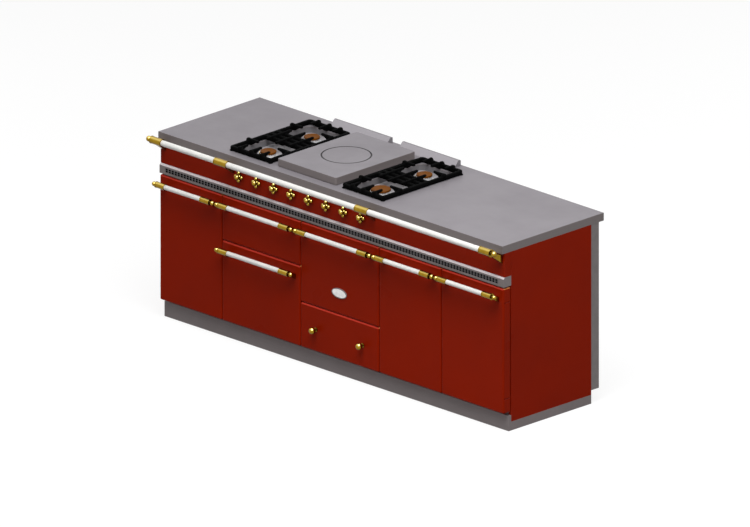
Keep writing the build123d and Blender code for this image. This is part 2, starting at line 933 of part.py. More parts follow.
# The two places along a door's hinge edge where an arm meets it
def hinge_stations(x, z, edge):
    pin_y = door_front + hinge_inset
    if edge == "bottom":
        pin_z = z[0] + hinge_inset
        return [Station((pin_x, pin_y, pin_z), "X", -1) for pin_x in span(*x, hinge_end)]
    outward = -1 if edge == "left" else 1
    pin_x = x[0] + hinge_inset if edge == "left" else x[1] - hinge_inset
    return [Station((pin_x, pin_y, pin_z), "Z", outward) for pin_z in span(*z, side_hinge_end)]


# A box placed from a hinge pin: along the pin, out towards the hinge edge and back
def station_block(station, along, outward, back, mode=Mode.ADD):
    pin_x, pin_y, pin_z = station.point
    y = (pin_y + back[0], pin_y + back[1])
    if station.spin == "X":
        z = sorted(pin_z + station.outward * value for value in outward)
        block((pin_x + along[0], pin_x + along[1]), y, z, mode)
    else:
        x = sorted(pin_x + station.outward * value for value in outward)
        block(x, y, (pin_z + along[0], pin_z + along[1]), mode)


slot_half = hinge_arm_thickness / 2 + hinge_side_gap
lug_end = slot_half + hinge_lug
to_wall = hinge_inset - door_sheet
eye_room = hinge_eye_radius + hinge_eye_clearance
pin_to_back = door_depth - hinge_inset


# A rim turned in round the back of a door pan, which carries the lining
def pan_rim(x, z):
    y = (door_back - door_sheet, door_back)
    with BuildPart() as rim:
        block(x, y, z)
        fillet(rim.edges().filter_by(Axis.Y), door_round)
        block(span(*x, door_rim), y, span(*z, door_rim), Mode.SUBTRACT)
    return rim.part


# A front pan with rounded edges, open at the back
def form_pan(pan, x, z):
    block(x, (door_front, door_back), z)
    edges = pan.edges().filter_by(Axis.Y) + pan.faces().sort_by(Axis.Y)[0].edges()
    fillet(edges, door_round)
    offset(amount=-door_sheet, openings=pan.faces().sort_by(Axis.Y)[-1])
    add(pan_rim(x, z))


def door_pan(x, z, edge):
    with BuildPart() as pan:
        form_pan(pan, x, z)
        for station in hinge_stations(x, z, edge):
            for along in ((slot_half, lug_end), (-lug_end, -slot_half)):
                station_block(station, along, (-hinge_eye_radius, to_wall), (-to_wall, hinge_eye_radius))
            rod(
                station.point,
                hinge_pin_radius + hinge_pin_clearance,
                2 * lug_end,
                station.spin,
                Mode.SUBTRACT,
            )
            station_block(
                station,
                (-slot_half, slot_half),
                (hinge_inset - door_round, hinge_inset),
                (-eye_room + hinge_eye_clearance, pin_to_back),
                Mode.SUBTRACT,
            )
            station_block(
                station,
                (-slot_half, slot_half),
                (-eye_room, to_wall),
                (pin_to_back - door_sheet, pin_to_back),
                Mode.SUBTRACT,
            )
    return pan.part


def door_lining(x, z, edge):
    with BuildPart() as lining:
        block(span(*x, lining_inset), (door_back, lining_back), span(*z, lining_inset))
        for station in hinge_stations(x, z, edge):
            station_block(
                station,
                (-slot_half, slot_half),
                (-eye_room, hinge_inset),
                (pin_to_back, pin_to_back + lining_sheet),
                Mode.SUBTRACT,
            )
    return lining.part


def hinge_arm(station):
    arm_half_width = hinge_arm_thickness / 2
    with BuildPart() as arm:
        station_block(
            station,
            (-arm_half_width, arm_half_width),
            (-hinge_arm_half, hinge_arm_half),
            (0, frame_front - station.point[1]),
        )
        rod(station.point, hinge_eye_radius, hinge_arm_thickness, station.spin)
        rod(station.point, hinge_pin_radius, 2 * (lug_end - hinge_pin_end_gap), station.spin)
    return arm.part


# A sloping arm from a rod down to the panel behind it, drawn from the side
def mount_arm(middle_x, axis_y, axis_z, style, reach, rise, root, foot_drop, foot_height):
    with BuildSketch(Plane.YZ.offset(middle_x - style.arm_width / 2)) as profile:
        with BuildLine():
            Polyline(
                (axis_y, axis_z + rise),
                (axis_y + reach, axis_z - foot_drop),
                (axis_y + reach, axis_z - foot_drop - foot_height),
                (axis_y, axis_z - root),
                close=True,
            )
        make_face()
    extrude(profile.sketch, amount=style.arm_width)


# A ball, a neck and a ferrule turned in one piece, with a blind bore for the end of the bar
def turned_end(tip_x, inward, axis_y, axis_z, style):
    neck_start = style.ball + (style.ball**2 - mount_neck_radius**2) ** 0.5
    ferrule_start = 2 * style.ball + mount_neck
    ferrule_end = ferrule_start + style.length
    bore_radius = style.bar + mount_bore_clearance
    with BuildSketch(Plane(origin=(tip_x, axis_y, axis_z), x_dir=(inward, 0, 0), z_dir=(0, 0, 1))) as profile:
        with BuildLine():
            ThreePointArc((0, 0), (style.ball, style.ball), (neck_start, mount_neck_radius))
            Polyline(
                (neck_start, mount_neck_radius),
                (ferrule_start, mount_neck_radius),
                (ferrule_start, style.collar),
                (ferrule_start + mount_collar, style.collar),
                (ferrule_start + mount_collar, style.ferrule),
                (ferrule_end - mount_collar, style.ferrule),
                (ferrule_end - mount_collar, style.collar),
                (ferrule_end, style.collar),
                (ferrule_end, bore_radius),
                (ferrule_end - mount_bore_depth, bore_radius),
                (ferrule_end - mount_bore_depth, 0),
                (0, 0),
            )
        make_face()
    revolve(profile.sketch, axis=Axis((tip_x, axis_y, axis_z), (1, 0, 0)))


def end_mount(tip_x, inward, axis_y, axis_z, style, *arm):
    arm_x = tip_x + inward * (2 * style.ball + mount_neck + style.arm_width / 2)
    with BuildPart() as mount:
        mount_arm(arm_x, axis_y, axis_z, style, *arm)
        fillet(mount.faces().filter_by(Axis.X).edges().filter_by(GeomType.LINE), mount_arm_round)
        turned_end(tip_x, inward, axis_y, axis_z, style)
    return mount.part


handle_arm = (handle_standoff, handle_arm_rise, handle_arm_root, handle_foot_drop, handle_foot_height)
rail_arm = (
    rail_forward + fascia_setback,
    rail_arm_rise,
    rail_arm_root,
    rail_foot_drop,
    rail_foot_height,
)


# The two ends of the bar between a pair of mounts
def bar_ends(tips, style):
    return span(*tips, 2 * style.ball + mount_neck + style.length - mount_bore_depth)


def make_handle(name, bay, top):
    tips = span(bay_edges[bay], bay_edges[bay + 1], handle_end_gap)
    axis_y = door_front - handle_standoff
    axis_z = top - handle_drop
    mounts = [
        end_mount(tip_x, inward, axis_y, axis_z, handle_style, *handle_arm)
        for tip_x, inward in zip(tips, (1, -1))
    ]
    save_group(mounts, f"{name}_handle_mounts")
    ends = bar_ends(tips, handle_style)
    middle = (sum(ends) / 2, axis_y, axis_z)
    with BuildPart() as bar:
        rod(middle, handle_style.bar, ends[1] - ends[0], "X")
        rod(middle, handle_style.bar - handle_bar_wall, ends[1] - ends[0], "X", Mode.SUBTRACT)
    save(bar.part, f"{name}_handle_bar")


# Hinged fronts
hinged_fronts = {
    "left_door": (0, full_front, "left"),
    "grill_door": (1, grill_front, "bottom"),
    "lower_oven_door": (1, lower_oven_front, "bottom"),
    "main_oven_door": (2, main_oven_front, "bottom"),
    "right_door": (4, full_front, "right"),
}
hinge_arms = []
for name, (bay, z, edge) in hinged_fronts.items():
    x = front_span(bay)
    save(door_pan(x, z, edge), name)
    save(door_lining(x, z, edge), f"{name}_lining")
    make_handle(name, bay, z[1])
    hinge_arms += [hinge_arm(station) for station in hinge_stations(x, z, edge)]
save_group(hinge_arms, "hinge_arms")


# A front pan for a sliding unit
def sliding_front(name, bay, z):
    with BuildPart() as pan:
        form_pan(pan, front_span(bay), z)
    save(pan.part, name)


# The plate behind a sliding front and an open tray that runs on two ledges
def slide_tray(bay, front_z, tray_z, height):
    x = span(*cavity_span(bay), slide_side_gap)
    y = (lining_back, lining_back + slide_depth)
    block(span(*front_span(bay), lining_inset), (door_back, lining_back), span(*front_z, lining_inset))
    block(x, y, (tray_z, tray_z + height))
    block(
        span(*x, slide_sheet),
        (lining_back, y[1] - slide_sheet),
        (tray_z + slide_sheet, tray_z + height),
        Mode.SUBTRACT,
    )


slide_foot = cavity_foot + runner_height + runner_clearance
sliding_front("drawer_front", 2, drawer_front_span)
with BuildPart() as drawer_box:
    slide_tray(2, drawer_front_span, slide_foot, drawer_wall_height)
save(drawer_box.part, "drawer_box")

with BuildPart() as drawer_knobs:
    for side in (-1, 1):
        drawer_knob_x = (bay_edges[2] + bay_edges[3]) / 2 + side * drawer_knob_spread
        drawer_knob_z = sum(drawer_front_span) / 2
        ball_forward = drawer_knob_standoff - drawer_knob_ball_radius
        rod(
            (drawer_knob_x, door_front - drawer_knob_base / 2, drawer_knob_z),
            drawer_knob_base_radius,
            drawer_knob_base,
            "Y",
        )
        rod(
            (drawer_knob_x, door_front - ball_forward / 2, drawer_knob_z),
            drawer_knob_neck_radius,
            ball_forward,
            "Y",
        )
        with Locations((drawer_knob_x, door_front - ball_forward, drawer_knob_z)):
            Sphere(drawer_knob_ball_radius)
save(drawer_knobs.part, "drawer_knobs")

sliding_front("larder_front", 3, full_front)
with BuildPart() as larder_carriage:
    slide_tray(3, full_front, slide_foot, larder_wall_height)
    upper_foot = slide_foot + larder_upper_tray
    tray_x = span(*cavity_span(3), slide_side_gap)
    tray_back = lining_back + slide_depth
    block(tray_x, (lining_back, tray_back), (upper_foot, upper_foot + larder_wall_height))
    block(
        span(*tray_x, slide_sheet),
        (lining_back, tray_back - slide_sheet),
        (upper_foot + slide_sheet, upper_foot + larder_wall_height),
        Mode.SUBTRACT,
    )
    for post_x in ((tray_x[0], tray_x[0] + larder_post), (tray_x[1] - larder_post, tray_x[1])):
        block(post_x, (tray_back - larder_post, tray_back), (slide_foot, upper_foot))
save(larder_carriage.part, "larder_carriage")
make_handle("larder", 3, door_top)

# Rail along the worktop, carried at its ends and on each side of the hob
rail_tips = (-half_width - rail_overhang, half_width + rail_overhang)
rail_mounts = [
    end_mount(tip_x, inward, rail_y, rail_z, rail_style, *rail_arm)
    for tip_x, inward in zip(rail_tips, (1, -1))
]
for side in (-1, 1):
    mount_x = hob_x + rail_middle_shift + side * rail_middle_offset
    with BuildPart() as middle_mount:
        mount_arm(mount_x, rail_y, rail_z, rail_style, *rail_arm)
        fillet(middle_mount.faces().filter_by(Axis.X).edges().filter_by(GeomType.LINE), mount_arm_round)
        rod((mount_x, rail_y, rail_z), rail_style.ferrule, rail_middle_ferrule_length, "X")
        for end in (-1, 1):
            collar_x = mount_x + end * (rail_middle_ferrule_length - mount_collar) / 2
            rod((collar_x, rail_y, rail_z), rail_style.collar, mount_collar, "X")
        rod(
            (mount_x, rail_y, rail_z),
            rail_style.bar + mount_bore_clearance,
            rail_middle_ferrule_length,
            "X",
            Mode.SUBTRACT,
        )
    rail_mounts.append(middle_mount.part)
save_group(rail_mounts, "rail_mounts")

rail_ends = bar_ends(rail_tips, rail_style)
with BuildPart() as rail_bar:
    rod((sum(rail_ends) / 2, rail_y, rail_z), rail_style.bar, rail_ends[1] - rail_ends[0], "X")
    rod(
        (sum(rail_ends) / 2, rail_y, rail_z),
        rail_style.bar - handle_bar_wall,
        rail_ends[1] - rail_ends[0],
        "X",
        Mode.SUBTRACT,
    )
save(rail_bar.part, "rail_bar")
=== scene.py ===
import bpy
import json
import math
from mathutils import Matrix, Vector


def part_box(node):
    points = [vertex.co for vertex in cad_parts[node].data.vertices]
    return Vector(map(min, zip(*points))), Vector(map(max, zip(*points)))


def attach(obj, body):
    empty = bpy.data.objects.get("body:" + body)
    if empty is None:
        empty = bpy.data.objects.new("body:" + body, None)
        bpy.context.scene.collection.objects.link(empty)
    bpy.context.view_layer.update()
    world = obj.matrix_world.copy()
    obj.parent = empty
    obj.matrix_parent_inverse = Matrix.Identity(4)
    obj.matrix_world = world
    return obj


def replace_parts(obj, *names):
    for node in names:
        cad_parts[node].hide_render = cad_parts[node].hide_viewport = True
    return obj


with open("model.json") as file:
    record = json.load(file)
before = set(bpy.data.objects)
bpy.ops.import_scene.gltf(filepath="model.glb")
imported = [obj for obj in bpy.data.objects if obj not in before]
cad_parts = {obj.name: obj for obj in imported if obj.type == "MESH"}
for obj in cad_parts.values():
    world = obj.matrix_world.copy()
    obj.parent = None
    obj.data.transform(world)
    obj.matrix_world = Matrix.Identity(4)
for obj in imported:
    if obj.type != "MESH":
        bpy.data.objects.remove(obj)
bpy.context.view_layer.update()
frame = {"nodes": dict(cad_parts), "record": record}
nodes = frame["nodes"]
print("frame loaded with", len(nodes), "nodes")


# spans of a noise field that are stretched to a full range
wideSpan = (0.3, 0.7)
tightSpan = (0.35, 0.65)


# small helpers for node trees
def addNode(tree, kind, values=None, **settings):
    made = tree.nodes.new(kind)
    for name, value in settings.items():
        setattr(made, name, value)
    for socket, value in (values or {}).items():
        made.inputs[socket].default_value = value
    return made


def wire(tree, *pairs):
    for source, target in pairs:
        tree.links.new(source, target)


def openGroup(name, inputs, outputs):
    group = bpy.data.node_groups.new(name, "ShaderNodeTree")
    for label, kind, value in inputs:
        socket = group.interface.new_socket(label, in_out="INPUT", socket_type=kind)
        if value is not None:
            socket.default_value = value
    for label in outputs:
        group.interface.new_socket(label, in_out="OUTPUT", socket_type="NodeSocketFloat")
    return group, addNode(group, "NodeGroupInput").outputs, addNode(group, "NodeGroupOutput").inputs


def remap(tree, source, low, high, toLow, toHigh):
    made = addNode(tree, "ShaderNodeMapRange",
                   {"From Min": low, "From Max": high, "To Min": toLow, "To Max": toHigh})
    wire(tree, (source, made.inputs["Value"]))
    return made.outputs["Result"]


def arith(tree, operation, first, second):
    made = addNode(tree, "ShaderNodeMath", operation=operation)
    for socket, value in zip(made.inputs, (first, second)):
        if isinstance(value, (int, float)):
            socket.default_value = value
        else:
            wire(tree, (value, socket))
    return made.outputs[0]


def blendColour(tree, factor, first, second):
    made = addNode(tree, "ShaderNodeMix", data_type="RGBA")
    for socket, value in zip((made.inputs[0], made.inputs[6], made.inputs[7]), (factor, first, second)):
        if isinstance(value, (tuple, list)):
            socket.default_value = (*value, 1)
        else:
            wire(tree, (value, socket))
    return made.outputs[2]


def noise(tree, vector, scale, detail=3.0, roughness=0.5):
    made = addNode(tree, "ShaderNodeTexNoise", {"Scale": scale, "Detail": detail, "Roughness": roughness})
    wire(tree, (vector, made.inputs["Vector"]))
    return made.outputs["Fac"]


def shade(colour, level):
    return tuple(min(1, channel * level) for channel in colour)


# long thin streaks along X, with slow clouds over them
def makeBrushGrain():
    group, source, target = openGroup("brushGrain", [
        ("Place", "NodeSocketVector", None),
        ("Along", "NodeSocketFloat", 5.0),
        ("Across", "NodeSocketFloat", 700.0),
        ("Cloud Size", "NodeSocketFloat", 4.0),
    ], ["Streak", "Cloud"])
    stretch = addNode(group, "ShaderNodeCombineXYZ")
    scaled = addNode(group, "ShaderNodeVectorMath", operation="MULTIPLY")
    wire(group, (source["Along"], stretch.inputs[0]), (source["Across"], stretch.inputs[1]),
         (source["Across"], stretch.inputs[2]), (source["Place"], scaled.inputs[0]),
         (stretch.outputs[0], scaled.inputs[1]))
    streak = noise(group, scaled.outputs[0], scale=1.0, detail=4.0, roughness=0.6)
    cloud = addNode(group, "ShaderNodeTexNoise", {"Detail": 4.0, "Roughness": 0.55})
    wire(group, (source["Place"], cloud.inputs["Vector"]), (source["Cloud Size"], cloud.inputs["Scale"]),
         (streak, target["Streak"]), (cloud.outputs["Fac"], target["Cloud"]))
    return group


# bare or rubbed edges together with a painted sheen on edges, broken up so that they don't run as one line
def makeEdgeRub():
    group, source, target = openGroup("edgeRub", [
        ("Place", "NodeSocketVector", None),
        ("Radius", "NodeSocketFloat", 0.002),
        ("Break Size", "NodeSocketFloat", 60.0),
    ], ["Rub"])
    bevel = addNode(group, "ShaderNodeBevel", samples=4)
    geometry = addNode(group, "ShaderNodeNewGeometry")
    turn = addNode(group, "ShaderNodeVectorMath", operation="DOT_PRODUCT")
    wire(group, (source["Radius"], bevel.inputs["Radius"]), (bevel.outputs[0], turn.inputs[0]),
         (geometry.outputs["Normal"], turn.inputs[1]))
    softTurn, sharpTurn = 0.98, 0.8
    breakSpan, leastRub = (0.3, 0.65), 0.25
    edge = remap(group, turn.outputs["Value"], softTurn, sharpTurn, 0, 1)
    patch = addNode(group, "ShaderNodeTexNoise", {"Detail": 3.0})
    wire(group, (source["Place"], patch.inputs["Vector"]), (source["Break Size"], patch.inputs["Scale"]))
    broken = remap(group, patch.outputs["Fac"], *breakSpan, leastRub, 1)
    wire(group, (arith(group, "MULTIPLY", edge, broken), target["Rub"]))
    return group


# darker in corners and under collars: dirt that settles there, and painted shade where shade falls
def makeCornerDirt():
    group, source, target = openGroup("cornerDirt", [
        ("Place", "NodeSocketVector", None),
        ("Reach", "NodeSocketFloat", 0.01),
    ], ["Dirt"])
    hollow = addNode(group, "ShaderNodeAmbientOcclusion", samples=4, only_local=True)
    wire(group, (source["Reach"], hollow.inputs["Distance"]))
    openLevel, deepLevel, leastDirt = 0.95, 0.35, 0.5
    deep = remap(group, hollow.outputs["AO"], openLevel, deepLevel, 0, 1)
    patch = remap(group, noise(group, source["Place"], scale=120.0), *wideSpan, leastDirt, 1)
    wire(group, (arith(group, "MULTIPLY", deep, patch), target["Dirt"]))
    return group


# the slight waves of fired or sprayed enamel, and its slow drift of tone
def makeEnamelSkin():
    group, source, target = openGroup("enamelSkin", [
        ("Place", "NodeSocketVector", None),
        ("Wave Size", "NodeSocketFloat", 180.0),
        ("Drift Size", "NodeSocketFloat", 3.0),
    ], ["Wave", "Drift"])
    wave = addNode(group, "ShaderNodeTexNoise", {"Detail": 2.0, "Roughness": 0.4})
    drift = addNode(group, "ShaderNodeTexNoise", {"Detail": 3.0})
    wire(group, (source["Place"], wave.inputs["Vector"]), (source["Wave Size"], wave.inputs["Scale"]),
         (source["Place"], drift.inputs["Vector"]), (source["Drift Size"], drift.inputs["Scale"]),
         (wave.outputs["Fac"], target["Wave"]), (drift.outputs["Fac"], target["Drift"]))
    return group


# how squarely a face looks one way, up and to the front unless told otherwise: the mask for painted
# highlights and painted shade by the way a face looks
def makeSlopeGleam():
    group, source, target = openGroup("slopeGleam", [
        ("Tilt", "NodeSocketVector", (0.0, -0.707, 0.707)),
        ("Start", "NodeSocketFloat", 0.86),
        ("Full", "NodeSocketFloat", 0.96),
    ], ["Gleam"])
    geometry = addNode(group, "ShaderNodeNewGeometry")
    turn = addNode(group, "ShaderNodeVectorMath", operation="DOT_PRODUCT")
    ramp = addNode(group, "ShaderNodeMapRange")
    wire(group, (geometry.outputs["Normal"], turn.inputs[0]), (source["Tilt"], turn.inputs[1]),
         (turn.outputs["Value"], ramp.inputs["Value"]), (source["Start"], ramp.inputs["From Min"]),
         (source["Full"], ramp.inputs["From Max"]), (ramp.outputs["Result"], target["Gleam"]))
    return group


effects = {
    "slopeGleam": makeSlopeGleam(),
    "brushGrain": makeBrushGrain(),
    "edgeRub": makeEdgeRub(),
    "cornerDirt": makeCornerDirt(),
    "enamelSkin": makeEnamelSkin(),
}


def openMaterial(name, **fixed):
    material = bpy.data.materials.new(name)
    material.use_nodes = True
    tree = material.node_tree
    shader = tree.nodes["Principled BSDF"]
    for label, value in fixed.items():
        shader.inputs[label].default_value = value
    place = addNode(tree, "ShaderNodeTexCoord").outputs["Object"]
    return material, tree, shader, place


def useEffect(tree, name, place=None, **values):
    made = addNode(tree, "ShaderNodeGroup", values, node_tree=effects[name])
    if place is not None:
        wire(tree, (place, made.inputs["Place"]))
    return made.outputs


def giveBump(tree, shader, height, strength, depth):
    bump = addNode(tree, "ShaderNodeBump", {"Strength": strength, "Distance": depth})
    wire(tree, (height, bump.inputs["Height"]), (bump.outputs[0], shader.inputs["Normal"]))


# a ring of painted shade in the seam, from the distance to the middle of the disc
def seamShadeRing(tree, place, ring):
    offset = addNode(tree, "ShaderNodeVectorMath", {1: ring["centre"]}, operation="SUBTRACT")
    flat = addNode(tree, "ShaderNodeVectorMath", {1: (1, 1, 0)}, operation="MULTIPLY")
    length = addNode(tree, "ShaderNodeVectorMath", operation="LENGTH")
    wire(tree, (place, offset.inputs[0]), (offset.outputs[0], flat.inputs[0]),
         (flat.outputs[0], length.inputs[0]))
    away = arith(tree, "ABSOLUTE", arith(tree, "SUBTRACT", length.outputs["Value"], ring["radius"]), 0)
    return remap(tree, away, ring["width"], ring["width"] * ring["core"], 0, ring["depth"])


# the band of holes in the vent strip, from the distance to its middle line
def holeBand(tree, place, holeShade):
    spread = addNode(tree, "ShaderNodeSeparateXYZ")
    wire(tree, (place, spread.inputs[0]))
    up = arith(tree, "ABSOLUTE", arith(tree, "SUBTRACT", spread.outputs["Z"], holeShade["level"]), 0)
    across = arith(tree, "ABSOLUTE", spread.outputs["X"], 0)
    inHeight = remap(tree, up, holeShade["half"] + holeShade["fade"], holeShade["half"], 0, 1)
    inWidth = remap(tree, across, holeShade["reach"] + holeShade["fade"], holeShade["reach"], 0, 1)
    return arith(tree, "MULTIPLY", inHeight, inWidth)


# shades, slopes and depths that every steel shares
steelTone = {"gloss": 0.3, "cloud": 0.8, "rubAndSheen": 1.5, "seamShade": 0.12, "patchy": 0.04, "bumpDepth": 0.0002,
             "level": {"Tilt": (0, 0, 1), "Start": 0.5, "Full": 0.97},
             "front": {"Tilt": (0, -1, 0), "Start": 0.5, "Full": 0.9}}


# sheet steel with a brushed face: turn lays the grain along another axis
def brushedSteel(name, look):
    fixed = {"Metallic": look["metallic"], "Specular IOR Level": steelTone["gloss"]}
    material, tree, shader, place = openMaterial(name, **fixed)
    turned = addNode(tree, "ShaderNodeMapping", {"Rotation": look["turn"]})
    wire(tree, (place, turned.inputs["Vector"]))
    grain = useEffect(tree, "brushGrain", turned.outputs[0], **look["grain"])
    rubAndSheen = useEffect(tree, "edgeRub", place, Radius=look["edge"])["Rub"]
    colour = look["colour"]
    streaks = remap(tree, grain["Streak"], *wideSpan, 0, 1)
    dim, bright = shade(colour, 1 - look["streak"]), shade(colour, 1 + look["streak"])
    streaky = blendColour(tree, streaks, dim, bright)
    clouds = remap(tree, grain["Cloud"], *tightSpan, 0, look["cloud"])
    cloudy = blendColour(tree, clouds, streaky, shade(colour, steelTone["cloud"]))
    # edges brighter: partly rubbed steel, partly a painted highlight
    rubbedAndSheen = arith(tree, "MULTIPLY", rubAndSheen, look["rubAndSheen"])
    worn = blendColour(tree, rubbedAndSheen, cloudy, shade(colour, steelTone["rubAndSheen"]))
    if "uprightShade" in look:
        # painted shade: faces that stand upright take the darker upright tones
        level = useEffect(tree, "slopeGleam", **steelTone["level"])["Gleam"]
        worn = blendColour(tree, level, blendColour(tree, streaks, *look["uprightShade"]), worn)
    if "gleam" in look:
        # painted highlight: bevels that face up and to the front take a brighter shade
        gleam = useEffect(tree, "slopeGleam")["Gleam"]
        worn = blendColour(tree, gleam, worn, shade(colour, look["gleam"]))
    if "holeShade" in look:
        # painted shade in the band of vent holes: hole walls near black and the webs between holes darker,
        # so the rows read as dark holes
        front = useEffect(tree, "slopeGleam", **steelTone["front"])["Gleam"]
        webs, sides = shade(colour, look["holeShade"]["web"]), shade(colour, look["holeShade"]["side"])
        holeShaded = blendColour(tree, front, sides, webs)
        worn = blendColour(tree, holeBand(tree, place, look["holeShade"]), worn, holeShaded)
    if "seamShade" in look:
        # painted shade in the seam round the disc
        ring = seamShadeRing(tree, place, look["seamShade"])
        worn = blendColour(tree, ring, worn, shade(colour, steelTone["seamShade"]))
    low, high = look["roughness"]
    patchy = remap(tree, grain["Cloud"], *wideSpan, -steelTone["patchy"], steelTone["patchy"])
    rough = arith(tree, "ADD", remap(tree, grain["Streak"], *wideSpan, low, high), patchy)
    wire(tree, (worn, shader.inputs["Base Color"]), (rough, shader.inputs["Roughness"]))
    giveBump(tree, shader, grain["Streak"], look["bump"], steelTone["bumpDepth"])
    return material


# painted shade in the seam round the lift-out disc, and painted shade round the rows of vent holes
low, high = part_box("simmer_disc")
seamGap = 0.0015
discSeamShade = {"centre": (low + high) / 2, "radius": (high.x - low.x) / 2 + seamGap,
            "width": 0.005, "core": 0.6, "depth": 0.95}
low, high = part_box("vent_strip")
holeLevel, holeMargin = 0.021, 0.036
ventHoleShade = {"level": low.z + holeLevel, "half": 0.0085, "reach": (high.x - low.x) / 2 - holeMargin,
             "fade": 0.003, "web": 0.55, "side": 0.02}

# the upright tones are a darker pair painted on faces that stand upright, a painted shade; gleam is a
# brighter shade painted on bevels that face up and to the front, a painted highlight
uprightShadeGrey = ((0.198, 0.172, 0.17), (0.218, 0.19, 0.188))
steelLooks = {
    "worktopSteel": {"colour": (0.244, 0.226, 0.245), "metallic": 0.1, "turn": (0, 0, 0), "edge": 0.0015,
                     "grain": {"Along": 6.0, "Across": 420.0, "Cloud Size": 5.0}, "streak": 0.07,
                     "cloud": 0.35, "rubAndSheen": 0.25, "roughness": (0.42, 0.56), "bump": 0.12, "uprightShade": uprightShadeGrey},
    "stripSteel": {"colour": (0.26, 0.243, 0.25), "metallic": 0.2, "turn": (0, 0, 0), "edge": 0.001,
                   "grain": {"Along": 8.0, "Across": 600.0, "Cloud Size": 8.0}, "streak": 0.06,
                   "cloud": 0.2, "rubAndSheen": 0.3, "roughness": (0.38, 0.5), "bump": 0.1, "gleam": 2.8,
                   "uprightShade": ((0.215, 0.186, 0.183), (0.24, 0.208, 0.205)), "holeShade": ventHoleShade},
    "plinthSteel": {"colour": (0.245, 0.212, 0.213), "metallic": 0.1, "turn": (0, 0, 0), "edge": 0.001,
                    "grain": {"Along": 8.0, "Across": 500.0, "Cloud Size": 6.0}, "streak": 0.07,
                    "cloud": 0.3, "rubAndSheen": 0.3, "roughness": (0.45, 0.58), "bump": 0.12},
    "plateSteel": {"colour": (0.24, 0.223, 0.241), "metallic": 0.1, "turn": (0, 0, 0), "edge": 0.0015,
                   "grain": {"Along": 10.0, "Across": 380.0, "Cloud Size": 9.0}, "streak": 0.06,
                   "cloud": 0.4, "rubAndSheen": 0.3, "roughness": (0.45, 0.6), "bump": 0.1, "uprightShade": uprightShadeGrey,
                   "seamShade": discSeamShade},
    "flueSteel": {"colour": (0.235, 0.221, 0.237), "metallic": 0.2, "turn": (0, 0, 0), "edge": 0.001,
                  "grain": {"Along": 10.0, "Across": 500.0, "Cloud Size": 9.0}, "streak": 0.05,
                  "cloud": 0.25, "rubAndSheen": 0.2, "roughness": (0.38, 0.5), "bump": 0.1, "gleam": 1.5},
    "panSteel": {"colour": (0.46, 0.44, 0.46), "metallic": 0.2, "turn": (0, 0, math.pi / 2), "edge": 0.001,
                 "grain": {"Along": 12.0, "Across": 500.0, "Cloud Size": 14.0}, "streak": 0.06,
                 "cloud": 0.3, "rubAndSheen": 0.1, "roughness": (0.35, 0.5), "bump": 0.1,
                 "uprightShade": ((0.173, 0.165, 0.173), (0.195, 0.187, 0.195))},
    "zincSheet": {"colour": (0.208, 0.187, 0.186), "metallic": 0.35, "turn": (0, math.pi / 2, 0),
                  "edge": 0.001, "grain": {"Along": 14.0, "Across": 90.0, "Cloud Size": 30.0},
                  "streak": 0.07, "cloud": 0.35, "rubAndSheen": 0.2, "roughness": (0.45, 0.6), "bump": 0.06},
}
finish = {name: brushedSteel(name, look) for name, look in steelLooks.items()}
print("steels made:", len(finish))

# shades, slopes and depths that every enamel shares: crest and corner pick the upper fillets of a front,
# where a painted highlight goes
enamelTone = {"thin": 0.95, "thick": 1.05, "soilAndShade": 0.35, "reach": 0.006, "bumpDepth": 0.0003,
              "crestHighlight": {"Tilt": (0, -0.5, 0.866), "Start": 0.56, "Full": 0.76},
              "corner": {"Tilt": (0.64, 0, 0.768), "Start": 0.84, "Full": 0.95}}


# gloss enamel over steel: the edges are paler, partly rubbed and partly a painted highlight
def glossEnamel(name, look):
    material, tree, shader, place = openMaterial(name, **look["fixed"])
    skin = useEffect(tree, "enamelSkin", place, **look["skin"])
    rubAndSheen = useEffect(tree, "edgeRub", place, Radius=look["edge"])["Rub"]
    dirtAndShade = useEffect(tree, "cornerDirt", place, Reach=enamelTone["reach"])["Dirt"]
    colour = look["colour"]
    drift = remap(tree, skin["Drift"], *tightSpan, 0, 1)
    thin, thick = shade(colour, enamelTone["thin"]), shade(colour, enamelTone["thick"])
    drifting = blendColour(tree, drift, thin, thick)
    # edges paler: partly rubbed enamel, partly a painted highlight
    rubbedAndSheen = blendColour(tree, arith(tree, "MULTIPLY", rubAndSheen, look["rubAndSheen"]), drifting, look["edgeColour"])
    # darker in corners: dirt and painted shade
    soilAndShade = arith(tree, "MULTIPLY", dirtAndShade, look["dirtAndShade"])
    coat = blendColour(tree, soilAndShade, rubbedAndSheen, shade(colour, enamelTone["soilAndShade"]))
    # painted highlights on the upper fillets of a front
    for slope in ("crestHighlight", "corner"):
        if slope in look:
            gleam = useEffect(tree, "slopeGleam", **enamelTone[slope])["Gleam"]
            coat = blendColour(tree, gleam, coat, look[slope])
    low, high = look["roughness"]
    wire(tree, (coat, shader.inputs["Base Color"]),
         (remap(tree, skin["Drift"], *wideSpan, low, high), shader.inputs["Roughness"]))
    giveBump(tree, shader, skin["Wave"], look["bump"], enamelTone["bumpDepth"])
    return material


